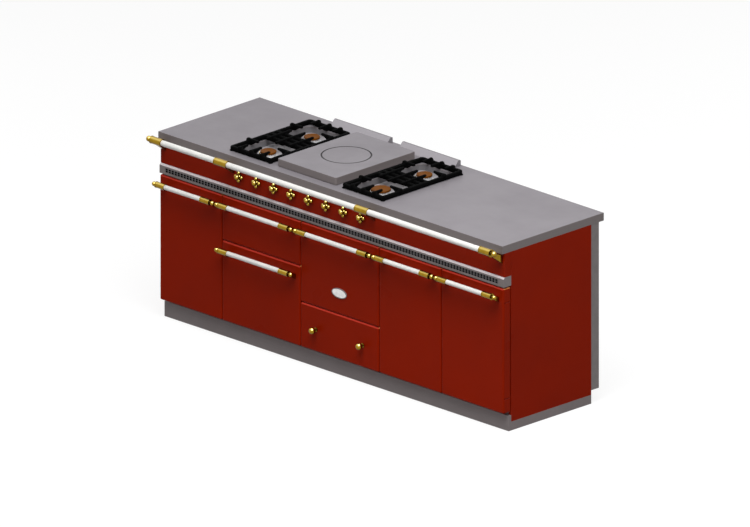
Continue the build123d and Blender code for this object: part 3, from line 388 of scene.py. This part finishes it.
enamelLooks = {
    # crest and corner colours are painted highlights on the upper fillets of the red fronts
    "redEnamel": {"colour": (0.326, 0.014, 0.0009), "crestHighlight": (0.62, 0.05, 0.03), "corner": (1, 0.34, 0.1),
                  "edgeColour": (0.46, 0.04, 0.02), "edge": 0.003, "rubAndSheen": 0.35, "dirtAndShade": 0.25,
                  "fixed": {"Specular IOR Level": 0.032, "Metallic": 0.0},
                  "skin": {"Wave Size": 170.0, "Drift Size": 3.0}, "roughness": (0.26, 0.36), "bump": 0.06},
    "whiteEnamel": {"colour": (0.88, 0.87, 0.84), "edgeColour": (0.9, 0.89, 0.87), "edge": 0.001, "rubAndSheen": 0.2,
                    "dirtAndShade": 0.12, "fixed": {"Specular IOR Level": 0.4, "Metallic": 0.0},
                    "skin": {"Wave Size": 220.0, "Drift Size": 12.0}, "roughness": (0.2, 0.3), "bump": 0.04},
}
finish.update({name: glossEnamel(name, look) for name, look in enamelLooks.items()})

# dark oven enamel with pale flecks fired into it
ovenLook = {"colour": (0.02, 0.021, 0.025), "fleck": (0.2, 0.2, 0.22), "fleckSize": 420.0,
            "fleckSpan": (0.66, 0.72), "gloss": 0.45, "thin": 0.8, "thick": 1.25,
            "skin": {"Wave Size": 140.0, "Drift Size": 9.0},
            "roughness": (0.25, 0.4), "bump": 0.1, "bumpDepth": 0.0003}


def fleckedEnamel(name, look):
    material, tree, shader, place = openMaterial(name, **{"Specular IOR Level": look["gloss"]})
    skin = useEffect(tree, "enamelSkin", place, **look["skin"])
    flecks = remap(tree, noise(tree, place, look["fleckSize"], detail=1.0), *look["fleckSpan"], 0, 1)
    drift = remap(tree, skin["Drift"], *wideSpan, 0, 1)
    thin, thick = shade(look["colour"], look["thin"]), shade(look["colour"], look["thick"])
    base = blendColour(tree, drift, thin, thick)
    low, high = look["roughness"]
    wire(tree, (blendColour(tree, flecks, base, look["fleck"]), shader.inputs["Base Color"]),
         (remap(tree, skin["Wave"], *wideSpan, low, high), shader.inputs["Roughness"]))
    giveBump(tree, shader, skin["Wave"], look["bump"], look["bumpDepth"])
    return material


finish["ovenEnamel"] = fleckedEnamel("ovenEnamel", ovenLook)

# shades and slopes that every polished metal shares: painted shade on faces turned from the main light, a
# painted highlight on faces turned to it
lightSide = (0.42, -0.5, 0.76)
metalTone = {"dull": 0.9, "clear": 1.1, "edge": 0.0012, "edgeShine": 0.45, "dirtRough": 0.2,
             "bumpDepth": 0.0002,
             "lift": {"Tilt": lightSide, "Start": -0.2, "Full": 0.7},
             "shine": {"Tilt": lightSide, "Start": 0.82, "Full": 0.96}}


# turned and polished metal, darker in hollows: partly tarnish where a cloth doesn't reach, partly painted
# shade
def polishedMetal(name, look):
    material, tree, shader, place = openMaterial(name, **look["fixed"])
    dirtAndShade = useEffect(tree, "cornerDirt", place, Reach=look["reach"])["Dirt"]
    rubAndSheen = useEffect(tree, "edgeRub", place, Radius=metalTone["edge"])["Rub"]
    mottle = noise(tree, place, look["mottleSize"], detail=4.0)
    colour = look["colour"]
    patches = remap(tree, mottle, *tightSpan, 0, 1)
    toned = blendColour(tree, patches, shade(colour, metalTone["dull"]), shade(colour, metalTone["clear"]))
    # darker in hollows: tarnish and painted shade
    dark = blendColour(tree, arith(tree, "MULTIPLY", dirtAndShade, look["dirtAndShade"]), toned, look["dark"])
    # edges toward the bright colour: rubbed metal and a painted sheen
    worn = blendColour(tree, arith(tree, "MULTIPLY", rubAndSheen, metalTone["edgeShine"]), dark, look["bright"])
    if "under" in look:
        # painted shade on faces turned from the main light, painted highlight on faces turned to it
        lift = useEffect(tree, "slopeGleam", **metalTone["lift"])["Gleam"]
        shine = useEffect(tree, "slopeGleam", **metalTone["shine"])["Gleam"]
        worn = blendColour(tree, shine, blendColour(tree, lift, look["under"], worn), look["bright"])
    low, high = look["roughness"]
    rough = arith(tree, "ADD", remap(tree, mottle, *wideSpan, low, high),
                  arith(tree, "MULTIPLY", dirtAndShade, metalTone["dirtRough"]))
    wire(tree, (worn, shader.inputs["Base Color"]), (rough, shader.inputs["Roughness"]))
    pits = noise(tree, place, look["bumpSize"], detail=2.0)
    giveBump(tree, shader, pits, look["bump"], metalTone["bumpDepth"])
    return material


metalLooks = {
    # brass: the darkest tone is a painted shade for faces turned from the main light, and the bright tone is
    # also its painted highlight
    "brass": {"colour": (0.34, 0.208, 0.016), "dark": (0.035, 0.02, 0.0015), "bright": (0.95, 0.74, 0.22),
              "under": (0.085, 0.047, 0.003), "fixed": {"Metallic": 1.0}, "reach": 0.012, "dirtAndShade": 0.95,
              "mottleSize": 60.0, "roughness": (0.16, 0.24), "bumpSize": 500.0, "bump": 0.03},
    "burnerAlloy": {"colour": (0.86, 0.86, 0.87), "dark": (0.25, 0.24, 0.23), "bright": (0.9, 0.9, 0.9),
                    "fixed": {"Metallic": 0.2, "Specular IOR Level": 0.3}, "reach": 0.006, "dirtAndShade": 0.35,
                    "mottleSize": 90.0, "roughness": (0.3, 0.45), "bumpSize": 900.0, "bump": 0.08},
    "capBronze": {"colour": (0.15, 0.047, 0.003), "dark": (0.045, 0.015, 0.002),
                  "bright": (0.21, 0.08, 0.014), "fixed": {"Metallic": 0.0, "Specular IOR Level": 0.06},
                  "reach": 0.008, "dirtAndShade": 0.5, "mottleSize": 70.0, "roughness": (0.4, 0.55),
                  "bumpSize": 700.0, "bump": 0.1},
    "badgeFace": {"colour": (0.9, 0.895, 0.885), "dark": (0.5, 0.5, 0.49), "bright": (0.94, 0.94, 0.93),
                  "fixed": {"Metallic": 0.5}, "reach": 0.004, "dirtAndShade": 0.1,
                  "mottleSize": 80.0, "roughness": (0.28, 0.36), "bumpSize": 900.0, "bump": 0.01},
    "chromeWire": {"colour": (0.62, 0.62, 0.63), "dark": (0.2, 0.19, 0.18), "bright": (0.85, 0.85, 0.85),
                   "fixed": {"Metallic": 0.9}, "reach": 0.008, "dirtAndShade": 0.4,
                   "mottleSize": 50.0, "roughness": (0.18, 0.3), "bumpSize": 600.0, "bump": 0.02},
}
finish.update({name: polishedMetal(name, look) for name, look in metalLooks.items()})

# rough dark surfaces: sand-cast iron, rubber, the near-black painted shade behind the vent holes and the
# cord of the door seals
darkTone = {"dull": 0.7, "clear": 1.3, "bumpDepth": 0.0006}


def roughDark(name, look):
    material, tree, shader, place = openMaterial(name, **{"Specular IOR Level": look["specular"]})
    coarse = noise(tree, place, look["coarse"], detail=4.0, roughness=0.6)
    fine = noise(tree, place, look["fine"], roughness=0.6)
    rubAndSheen = useEffect(tree, "edgeRub", place, Radius=look["edge"])["Rub"]
    patches = remap(tree, coarse, *wideSpan, 0, 1)
    dull, clear = shade(look["colour"], darkTone["dull"]), shade(look["colour"], darkTone["clear"])
    base = blendColour(tree, patches, dull, clear)
    worn = blendColour(tree, arith(tree, "MULTIPLY", rubAndSheen, look["rubAndSheen"]), base, look["worn"])
    low, high = look["roughness"]
    wire(tree, (worn, shader.inputs["Base Color"]),
         (remap(tree, coarse, *wideSpan, low, high), shader.inputs["Roughness"]))
    giveBump(tree, shader, arith(tree, "ADD", fine, coarse), look["bump"], darkTone["bumpDepth"])
    return material


darkLooks = {
    "castIron": {"colour": (0.0018, 0.0018, 0.0019), "worn": (0.007, 0.0068, 0.0066), "specular": 0.02,
                 "coarse": 90.0, "fine": 700.0, "bump": 0.25, "edge": 0.002, "rubAndSheen": 0.45,
                 "roughness": (0.6, 0.8)},
    "footRubber": {"colour": (0.012, 0.012, 0.012), "worn": (0.05, 0.05, 0.05), "specular": 0.2,
                   "coarse": 60.0, "fine": 500.0, "bump": 0.1, "edge": 0.002, "rubAndSheen": 0.3,
                   "roughness": (0.6, 0.8)},
    # near-black painted shade for the sheet behind the vent holes
    "ventShadeBlack": {"colour": (0.002, 0.002, 0.002), "worn": (0.006, 0.006, 0.006), "specular": 0.02,
                  "coarse": 120.0, "fine": 800.0, "bump": 0.1, "edge": 0.001, "rubAndSheen": 0.1,
                  "roughness": (0.85, 0.95)},
    "sealCord": {"colour": (0.06, 0.058, 0.055), "worn": (0.14, 0.13, 0.12), "specular": 0.1,
                 "coarse": 150.0, "fine": 900.0, "bump": 0.4, "edge": 0.001, "rubAndSheen": 0.3,
                 "roughness": (0.8, 0.95)},
}
finish.update({name: roughDark(name, look) for name, look in darkLooks.items()})
print("finishes made:", len(finish))

# which finish each part of the frame takes
doorNames = ["left_door", "grill_door", "lower_oven_door", "main_oven_door", "right_door"]
ovenDoors = ["grill_door", "lower_oven_door", "main_oven_door"]
finishOf = {
    "worktopSteel": ["worktop"],
    "stripSteel": ["vent_strip"],
    "plinthSteel": ["plinth"],
    "plateSteel": ["simmer_plate", "simmer_disc"],
    "flueSteel": ["flue_vents"],
    "panSteel": ["spill_trays"],
    "zincSheet": ["rear_panel", "base_panel", "front_frame", "storage_liners", "gas_manifold",
                  "oven_burners", "drawer_box", "larder_carriage", "left_door_lining", "right_door_lining"],
    "redEnamel": ["control_fascia", "side_panels", "drawer_front", "larder_front", "hinge_arms"] + doorNames,
    "whiteEnamel": ["rail_bar", "larder_handle_bar"] + [name + "_handle_bar" for name in doorNames],
    "ovenEnamel": ["oven_liners"] + [name + "_lining" for name in ovenDoors],
    "brass": ["rail_mounts", "drawer_knobs", "larder_handle_mounts"]
             + [name + "_handle_mounts" for name in doorNames]
             + [name for name in nodes if name.startswith("control_knob")],
    "burnerAlloy": ["burner_heads"],
    "capBronze": ["burner_caps"],
    "chromeWire": ["wire_shelves"],
    "castIron": ["pan_supports"],
    "footRubber": ["feet"],
    "sealCord": ["oven_seals"],
}


def dress(piece, material):
    for slot in piece.material_slots:
        slot.material = material
    if not piece.material_slots:
        piece.data.materials.append(material)


for finishName, members in finishOf.items():
    for member in members:
        dress(nodes[member], finish[finishName])
bareNodes = sorted(set(nodes) - {member for members in finishOf.values() for member in members})
print("frame dressed, without a finish:", bareNodes)


# limits: faces that look one way, faces square to it, edges shaded smooth and points merged
facing = 0.9
square = 0.99
smoothAngle = math.radians(35)
mergeDistance = 0.00001


# modelling helpers: everything is deselected before a piece is started
def deselectAll():
    if bpy.context.object and bpy.context.object.mode != "OBJECT":
        bpy.ops.object.mode_set(mode="OBJECT")
    bpy.ops.object.select_all(action="DESELECT")


def pickFaces(piece, test):
    bpy.ops.object.mode_set(mode="EDIT")
    bpy.ops.mesh.select_mode(type="FACE")
    bpy.ops.mesh.select_all(action="DESELECT")
    bpy.ops.object.mode_set(mode="OBJECT")
    for face in piece.data.polygons:
        face.select = test(face)
    bpy.ops.object.mode_set(mode="EDIT")


def settle(piece, name, body, material):
    bpy.ops.object.mode_set(mode="OBJECT")
    bpy.ops.object.transform_apply(location=True, rotation=True, scale=True)
    bpy.ops.object.shade_smooth_by_angle(angle=smoothAngle)
    piece.name = name
    piece.data.name = name
    dress(piece, material)
    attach(piece, body)
    return piece


# bare oval plate on the main oven door
badge = {"width": 0.095, "height": 0.047, "thick": 0.0045, "rim": 0.0026, "recess": 0.0012,
         "round": 0.0008, "step": 0.0004, "faceMargin": 0.0006, "centreX": 0.05125, "centreZ": 0.409,
         "crown": ((0.85, 0.0004), (0.75, 0.0003), (0.6, 0.0002), (0.4, 0.0001)), "sides": 72}


def makeBadge():
    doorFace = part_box("main_oven_door")[0].y
    deselectAll()
    bpy.ops.mesh.primitive_cylinder_add(
        vertices=badge["sides"], radius=badge["width"] / 2, depth=badge["thick"],
        location=(badge["centreX"], doorFace - badge["thick"] / 2, badge["centreZ"]),
        rotation=(math.pi / 2, 0, 0))
    plate = bpy.context.object
    bpy.ops.object.transform_apply(location=False, rotation=True, scale=True)
    bpy.ops.object.mode_set(mode="EDIT")
    bpy.ops.mesh.select_all(action="SELECT")
    bpy.ops.transform.resize(value=(1, 1, badge["height"] / badge["width"]))
    pickFaces(plate, lambda face: face.normal.y < -facing)
    bpy.ops.mesh.bevel(offset=badge["round"], segments=2, affect="EDGES")
    pickFaces(plate, lambda face: face.normal.y < -square and len(face.vertices) > 8)
    bpy.ops.mesh.inset(thickness=badge["rim"], depth=0)
    bpy.ops.mesh.inset(thickness=badge["step"], depth=-badge["recess"])
    for share, rise in badge["crown"]:
        bpy.ops.mesh.extrude_region_move(TRANSFORM_OT_translate={"value": (0, -rise, 0)})
        bpy.ops.transform.resize(value=(share, 1, share),
                                 center_override=(badge["centreX"], doorFace, badge["centreZ"]))
    bpy.ops.mesh.poke()
    settle(plate, "badgePlate", "main_oven_door", finish["plinthSteel"])
    plate.data.materials.append(finish["badgeFace"])
    inner = badge["rim"] + badge["faceMargin"]
    for face in plate.data.polygons:
        across = (face.center.x - badge["centreX"]) / (badge["width"] / 2 - inner)
        up = (face.center.z - badge["centreZ"]) / (badge["height"] / 2 - inner)
        face.material_index = int(across * across + up * up < 1 and face.normal.y < -0.5)
    return plate


makeBadge()
print("badge made")


# copies with their own mesh, set at each spot in place of the first one
def spreadCopies(first, spots):
    copies = []
    for spot in spots:
        deselectAll()
        first.select_set(True)
        bpy.context.view_layer.objects.active = first
        bpy.ops.object.duplicate()
        copies.append(bpy.context.object)
        copies[-1].location = spot
    bpy.data.objects.remove(first)
    return copies


def joinPieces(pieces, name, body, material):
    deselectAll()
    for piece in pieces:
        piece.select_set(True)
    bpy.context.view_layer.objects.active = pieces[0]
    bpy.ops.object.join()
    return settle(bpy.context.object, name, body, material)


# a merged copy of one part of the frame, left open in edit mode
def copyNode(nodeName):
    deselectAll()
    copy = nodes[nodeName].copy()
    copy.data = nodes[nodeName].data.copy()
    bpy.context.scene.collection.objects.link(copy)
    copy.select_set(True)
    bpy.context.view_layer.objects.active = copy
    bpy.ops.object.mode_set(mode="EDIT")
    bpy.ops.mesh.select_all(action="SELECT")
    bpy.ops.mesh.remove_doubles(threshold=mergeDistance)
    return copy


# boxes of the separate solids in one part of the frame, found on a copy
def looseBoxes(nodeName):
    copyNode(nodeName)
    bpy.ops.mesh.separate(type="LOOSE")
    bpy.ops.object.mode_set(mode="OBJECT")
    boxes = []
    for solid in list(bpy.context.selected_objects):
        corners = [vertex.co for vertex in solid.data.vertices]
        boxes.append(tuple(Vector([pick(corner[axis] for corner in corners) for axis in range(3)])
                           for pick in (min, max)))
        bpy.data.objects.remove(solid)
    return sorted(boxes, key=lambda box: tuple(box[0]))


# folded sheet behind the holes of the vent strip, near black: a painted shade so that the holes read dark
backing = {"foot": 0.008, "height": 0.0265, "sheet": 0.002, "gap": 0.0006, "thick": 0.0022,
           "endMargin": 0.012, "lip": 0.002, "fold": 0.001, "dish": 0.0012}


def makeBacking():
    low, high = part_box("vent_strip")
    width = high.x - low.x - 2 * backing["endMargin"]
    depth = low.y + backing["sheet"] + backing["gap"] + backing["thick"] / 2
    level = low.z + backing["foot"] + backing["height"] / 2
    deselectAll()
    bpy.ops.mesh.primitive_cube_add(size=1, location=((low.x + high.x) / 2, depth, level))
    panel = bpy.context.object
    panel.scale = (width, backing["thick"], backing["height"])
    bpy.ops.object.transform_apply(location=False, rotation=False, scale=True)
    pickFaces(panel, lambda face: face.normal.y < -facing)
    bpy.ops.mesh.inset(thickness=backing["lip"], depth=0)
    bpy.ops.mesh.inset(thickness=backing["fold"], depth=-backing["dish"])
    return settle(panel, "ventShadeBacking", "carcass", finish["ventShadeBlack"])


makeBacking()

# spark electrode and flame sensor beside each burner: a collared stem with a thinner tip
stem = {"radius": 0.0024, "foot": 0.011, "collar": 0.0012, "shoulder": 0.0004, "sides": 20,
        "tip": 0.0008, "tipRise": 0.0065, "sensorTip": 0.0016, "sensorRise": 0.005,
        "tipRound": 0.4, "tipDome": 0.5, "gap": 0.0036, "flange": 0.005,
        "sparkAngle": 160.0, "sensorAngle": 215.0}


def makeStem(tipRadius, tipRise):
    deselectAll()
    bpy.ops.mesh.primitive_cylinder_add(vertices=stem["sides"], radius=stem["radius"], depth=stem["foot"],
                                        location=(0, 0, stem["foot"] / 2))
    made = bpy.context.object
    bpy.ops.object.transform_apply(location=True, rotation=False, scale=False)
    pickFaces(made, lambda face: face.normal.z > facing)
    bpy.ops.mesh.inset(thickness=stem["shoulder"], depth=stem["collar"])
    bpy.ops.mesh.inset(thickness=stem["radius"] - stem["shoulder"] - tipRadius, depth=0)
    bpy.ops.mesh.extrude_region_move(TRANSFORM_OT_translate={"value": (0, 0, tipRise)})
    bpy.ops.mesh.inset(thickness=tipRadius * stem["tipRound"], depth=tipRadius * stem["tipDome"])
    bpy.ops.object.mode_set(mode="OBJECT")
    return made


def burnerSpots(angle):
    turn = math.radians(angle)
    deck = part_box("burner_heads")[0].z + stem["flange"]
    spots = []
    for centre, radius in burnerPlaces:
        reach = radius + stem["gap"]
        spots.append((centre.x + reach * math.cos(turn), centre.y + reach * math.sin(turn), deck))
    return spots


burnerPlaces = [((low + high) / 2, (high.x - low.x) / 2) for low, high in looseBoxes("burner_caps")]
electrodes = spreadCopies(makeStem(stem["tip"], stem["tipRise"]), burnerSpots(stem["sparkAngle"]))
joinPieces(electrodes, "sparkElectrodes", "carcass", finish["whiteEnamel"])
sensors = spreadCopies(makeStem(stem["sensorTip"], stem["sensorRise"]), burnerSpots(stem["sensorAngle"]))
joinPieces(sensors, "flameSensors", "carcass", finish["brass"])
print("burner fittings made for", len(burnerPlaces), "burners")

# pan supports as soft-edged castings: a domed boss on the frame at the root of each finger
casting = {"bossRadius": 0.0105, "bossDepth": 0.018, "bossRound": 0.006, "sides": 24, "fingerSpread": 0.07,
           "bar": 0.015, "voxel": 0.0025, "swell": 0.0012, "smoothing": 0.5, "passes": 2}


def makeBoss():
    deselectAll()
    bpy.ops.mesh.primitive_cylinder_add(
        vertices=casting["sides"], radius=casting["bossRadius"], depth=casting["bossDepth"],
        location=(0, 0, -casting["bossDepth"] / 2))
    boss = bpy.context.object
    bpy.ops.object.transform_apply(location=True, rotation=False, scale=False)
    pickFaces(boss, lambda face: face.normal.z > facing)
    bpy.ops.mesh.bevel(offset=casting["bossRound"], segments=3, affect="EDGES")
    bpy.ops.object.mode_set(mode="OBJECT")
    return boss


def bossSpots(low, high):
    middle = (low + high) / 2
    inset = casting["bar"] / 2
    rows = [centre.y for centre, radius in burnerPlaces if low.x < centre.x < high.x]
    spots = [(middle.x + step * casting["fingerSpread"], end, high.z)
             for step in (-1, 0, 1) for end in (low.y + inset, high.y - inset)]
    return spots + [(side, row, high.z) for row in rows for side in (low.x + inset, high.x - inset)]


def makeCastings():
    spots = [spot for box in looseBoxes("pan_supports") for spot in bossSpots(*box)]
    bosses = spreadCopies(makeBoss(), spots)
    grid = copyNode("pan_supports")
    bpy.ops.object.mode_set(mode="OBJECT")
    for boss in bosses:
        boss.select_set(True)
    bpy.ops.object.join()
    bpy.ops.object.modifier_add(type="REMESH")
    grid.modifiers[-1].mode = "VOXEL"
    grid.modifiers[-1].voxel_size = casting["voxel"]
    bpy.ops.object.modifier_apply(modifier=grid.modifiers[-1].name)
    bpy.ops.object.mode_set(mode="EDIT")
    bpy.ops.mesh.select_all(action="SELECT")
    bpy.ops.mesh.vertices_smooth(factor=casting["smoothing"], repeat=casting["passes"])
    bpy.ops.transform.shrink_fatten(value=casting["swell"])
    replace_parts(settle(grid, "castSupports", "carcass", finish["castIron"]), "pan_supports")
    print("castings made with", len(bosses), "bosses and", len(grid.data.polygons), "faces")


makeCastings()

# round-headed screws with a round recess, along the rims of the rear panel and the door linings
screw = {"radius": 0.0042, "height": 0.0024, "round": 0.0011, "land": 0.0014, "step": 0.0004,
         "recess": 0.0008, "sides": 24, "rearRows": {"margin": 0.014, "columns": 9, "rows": 4},
         "doorRows": {"margin": 0.03, "columns": 3, "rows": 2}}


def makeScrew():
    deselectAll()
    bpy.ops.mesh.primitive_cylinder_add(vertices=screw["sides"], radius=screw["radius"],
                                        depth=screw["height"], location=(0, 0, screw["height"] / 2))
    head = bpy.context.object
    bpy.ops.object.transform_apply(location=True, rotation=False, scale=False)
    pickFaces(head, lambda face: face.normal.z > facing)
    bpy.ops.mesh.bevel(offset=screw["round"], segments=3, affect="EDGES")
    pickFaces(head, lambda face: face.normal.z > square and len(face.vertices) > 8)
    bpy.ops.mesh.inset(thickness=screw["land"], depth=0)
    bpy.ops.mesh.inset(thickness=screw["step"], depth=-screw["recess"])
    bpy.ops.object.mode_set(mode="OBJECT")
    head.rotation_euler = (-math.pi / 2, 0, 0)
    bpy.ops.object.transform_apply(location=False, rotation=True, scale=False)
    return head


def rimSpots(low, high, margin, columns, rows):
    spots = []
    for column in range(columns):
        for row in range(rows):
            if column in (0, columns - 1) or row in (0, rows - 1):
                across = low.x + margin + (high.x - low.x - 2 * margin) * column / (columns - 1)
                up = low.z + margin + (high.z - low.z - 2 * margin) * row / (rows - 1)
                spots.append((across, high.y, up))
    return spots


def putScrews(nodeName, name, body, layout):
    heads = spreadCopies(makeScrew(), rimSpots(*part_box(nodeName), **layout))
    return joinPieces(heads, name, body, finish["chromeWire"])


putScrews("rear_panel", "rearScrews", "carcass", screw["rearRows"])
for doorName in doorNames:
    putScrews(doorName + "_lining", doorName + "Screws", doorName, screw["doorRows"])
print("screws made")

# union nut on the gas inlet
nut = {"radius": 0.0165, "depth": 0.012, "fromEnd": 0.02, "chamfer": 0.0012, "washer": 0.0012}


def makeNut():
    inlet = next(mount for mount in frame["record"]["mounts"] if mount["name"] == "gas_inlet")
    across, up = inlet["pos_m"][0], inlet["pos_m"][2]
    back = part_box("gas_manifold")[1].y - nut["fromEnd"]
    deselectAll()
    bpy.ops.mesh.primitive_cylinder_add(vertices=6, radius=nut["radius"], depth=nut["depth"],
                                        rotation=(math.pi / 2, 0, 0), location=(across, back, up))
    made = bpy.context.object
    bpy.ops.object.transform_apply(location=False, rotation=True, scale=False)
    pickFaces(made, lambda face: abs(face.normal.y) > facing)
    bpy.ops.mesh.bevel(offset=nut["chamfer"], segments=2, affect="EDGES")
    pickFaces(made, lambda face: abs(face.normal.y) > square and len(face.vertices) > 5)
    bpy.ops.mesh.inset(thickness=nut["chamfer"], depth=0, use_individual=True)
    bpy.ops.mesh.inset(thickness=nut["chamfer"] / 2, depth=nut["washer"], use_individual=True)
    return settle(made, "inletNut", "carcass", finish["brass"])


makeNut()

# racks of round wire in place of the plain ones
rack = {"frame": 0.003, "wire": 0.0018, "pitch": 0.024, "sides": 14, "round": 0.0012}


def makeBar(radius, length, turn):
    deselectAll()
    bpy.ops.mesh.primitive_cylinder_add(vertices=rack["sides"], radius=radius, depth=length, rotation=turn)
    bar = bpy.context.object
    bpy.ops.object.transform_apply(location=False, rotation=True, scale=False)
    pickFaces(bar, lambda face: len(face.vertices) > 4)
    bpy.ops.mesh.bevel(offset=rack["round"], segments=2, affect="EDGES")
    bpy.ops.object.mode_set(mode="OBJECT")
    return bar


def makeRack(low, high):
    alongX, alongY = (0, math.pi / 2, 0), (math.pi / 2, 0, 0)
    thick = rack["frame"]
    middle = (low + high) / 2
    size = high - low
    rows = [low.y + thick, middle.y, high.y - thick]
    bars = spreadCopies(makeBar(thick, size.x, alongX), [(middle.x, row, low.z + thick) for row in rows])
    sides = [(side, middle.y, low.z + thick) for side in (low.x + thick, high.x - thick)]
    bars += spreadCopies(makeBar(thick, size.y, alongY), sides)
    count = int(size.x / rack["pitch"])
    wires = [(low.x + size.x * (place + 1) / (count + 1), middle.y, high.z - rack["wire"])
             for place in range(count)]
    return bars + spreadCopies(makeBar(rack["wire"], size.y - 2 * thick, alongY), wires)


rackBars = [bar for low, high in looseBoxes("wire_shelves") for bar in makeRack(low, high)]
racks = joinPieces(rackBars, "roundRacks", "carcass", finish["chromeWire"])
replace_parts(racks, "wire_shelves")
print("racks made")

# camera: no perspective, from the front right
view = {"target": (-0.038, 0.037, 0.45), "azimuth": 45.0, "elevation": 19.59, "width": 3.398,
        "distance": 8.0}


def makeCamera():
    turn, tilt = math.radians(view["azimuth"]), math.radians(view["elevation"])
    away = Vector((math.sin(turn) * math.cos(tilt), -math.cos(turn) * math.cos(tilt), math.sin(tilt)))
    lens = bpy.data.cameras.new("photoCamera")
    lens.type = "ORTHO"
    lens.ortho_scale = view["width"]
    camera = bpy.data.objects.new("photoCamera", lens)
    bpy.context.scene.collection.objects.link(camera)
    camera.location = Vector(view["target"]) + away * view["distance"]
    camera.rotation_euler = (-away).to_track_quat("-Z", "Y").to_euler()
    bpy.context.scene.camera = camera


makeCamera()

# one broad soft light high at the front right, weak ones behind the object, and a pale floor
studio = {
    "lamps": [
        {"name": "keyLamp", "place": (2.2, -2.2, 6.2), "aim": (0, 0, 0.6), "size": (4.6, 4.6),
         "power": 460},
        {"name": "leftLamp", "place": (-5.5, -0.5, 2.6), "aim": (-0.8, 0, 0.5), "size": (3.0, 2.5),
         "power": 45},
        {"name": "backLamp", "place": (0.5, 5.5, 2.6), "aim": (0, 0.2, 0.5), "size": (4.0, 2.5),
         "power": 60},
    ],
    "skyLevel": 0.15, "floorSize": 60.0, "floorDrop": 0.0005, "floorDark": (0.3, 0.3, 0.3),
    "floorPale": (0.9, 0.9, 0.9), "floorGlow": 0.8, "glowLevel": 1.08,
}


def makeLamp(look):
    lamp = bpy.data.lights.new(look["name"], "AREA")
    lamp.shape = "RECTANGLE"
    lamp.size, lamp.size_y = look["size"]
    lamp.energy = look["power"]
    holder = bpy.data.objects.new(look["name"], lamp)
    bpy.context.scene.collection.objects.link(holder)
    holder.location = look["place"]
    aim = Vector(look["aim"]) - Vector(look["place"])
    holder.rotation_euler = aim.to_track_quat("-Z", "Y").to_euler()


def seenRay(tree):
    path = addNode(tree, "ShaderNodeLightPath")
    mirrored = arith(tree, "MAXIMUM", path.outputs["Is Glossy Ray"], path.outputs["Is Transmission Ray"])
    return arith(tree, "MAXIMUM", path.outputs["Is Camera Ray"], mirrored)


def makeSky():
    sky = bpy.data.worlds.new("studioSky")
    bpy.context.scene.world = sky
    sky.use_nodes = True
    tree = sky.node_tree
    tree.nodes.clear()
    dim = addNode(tree, "ShaderNodeBackground", {"Color": (1, 1, 1, 1), "Strength": studio["skyLevel"]})
    white = addNode(tree, "ShaderNodeBackground", {"Color": (1, 1, 1, 1), "Strength": 1.0})
    either = addNode(tree, "ShaderNodeMixShader")
    target = addNode(tree, "ShaderNodeOutputWorld")
    wire(tree, (seenRay(tree), either.inputs[0]), (dim.outputs[0], either.inputs[1]),
         (white.outputs[0], either.inputs[2]), (either.outputs[0], target.inputs[0]))


def makeFloor():
    deselectAll()
    bpy.ops.mesh.primitive_plane_add(size=studio["floorSize"], location=(0, 0, -studio["floorDrop"]))
    floor = bpy.context.object
    floor.name = "studioFloor"
    material = bpy.data.materials.new("paleFloor")
    material.use_nodes = True
    tree = material.node_tree
    tree.nodes.clear()
    seen = seenRay(tree)
    matt = addNode(tree, "ShaderNodeBsdfDiffuse")
    white = addNode(tree, "ShaderNodeEmission", {"Color": (1, 1, 1, 1), "Strength": studio["glowLevel"]})
    either = addNode(tree, "ShaderNodeMixShader")
    target = addNode(tree, "ShaderNodeOutputMaterial")
    wire(tree, (blendColour(tree, seen, studio["floorDark"], studio["floorPale"]), matt.inputs["Color"]),
         (arith(tree, "MULTIPLY", seen, studio["floorGlow"]), either.inputs[0]),
         (matt.outputs[0], either.inputs[1]), (white.outputs[0], either.inputs[2]),
         (either.outputs[0], target.inputs["Surface"]))
    floor.data.materials.append(material)


for lampLook in studio["lamps"]:
    makeLamp(lampLook)
makeSky()
makeFloor()
bpy.context.scene.view_settings.view_transform = "Standard"
print("studio lit")
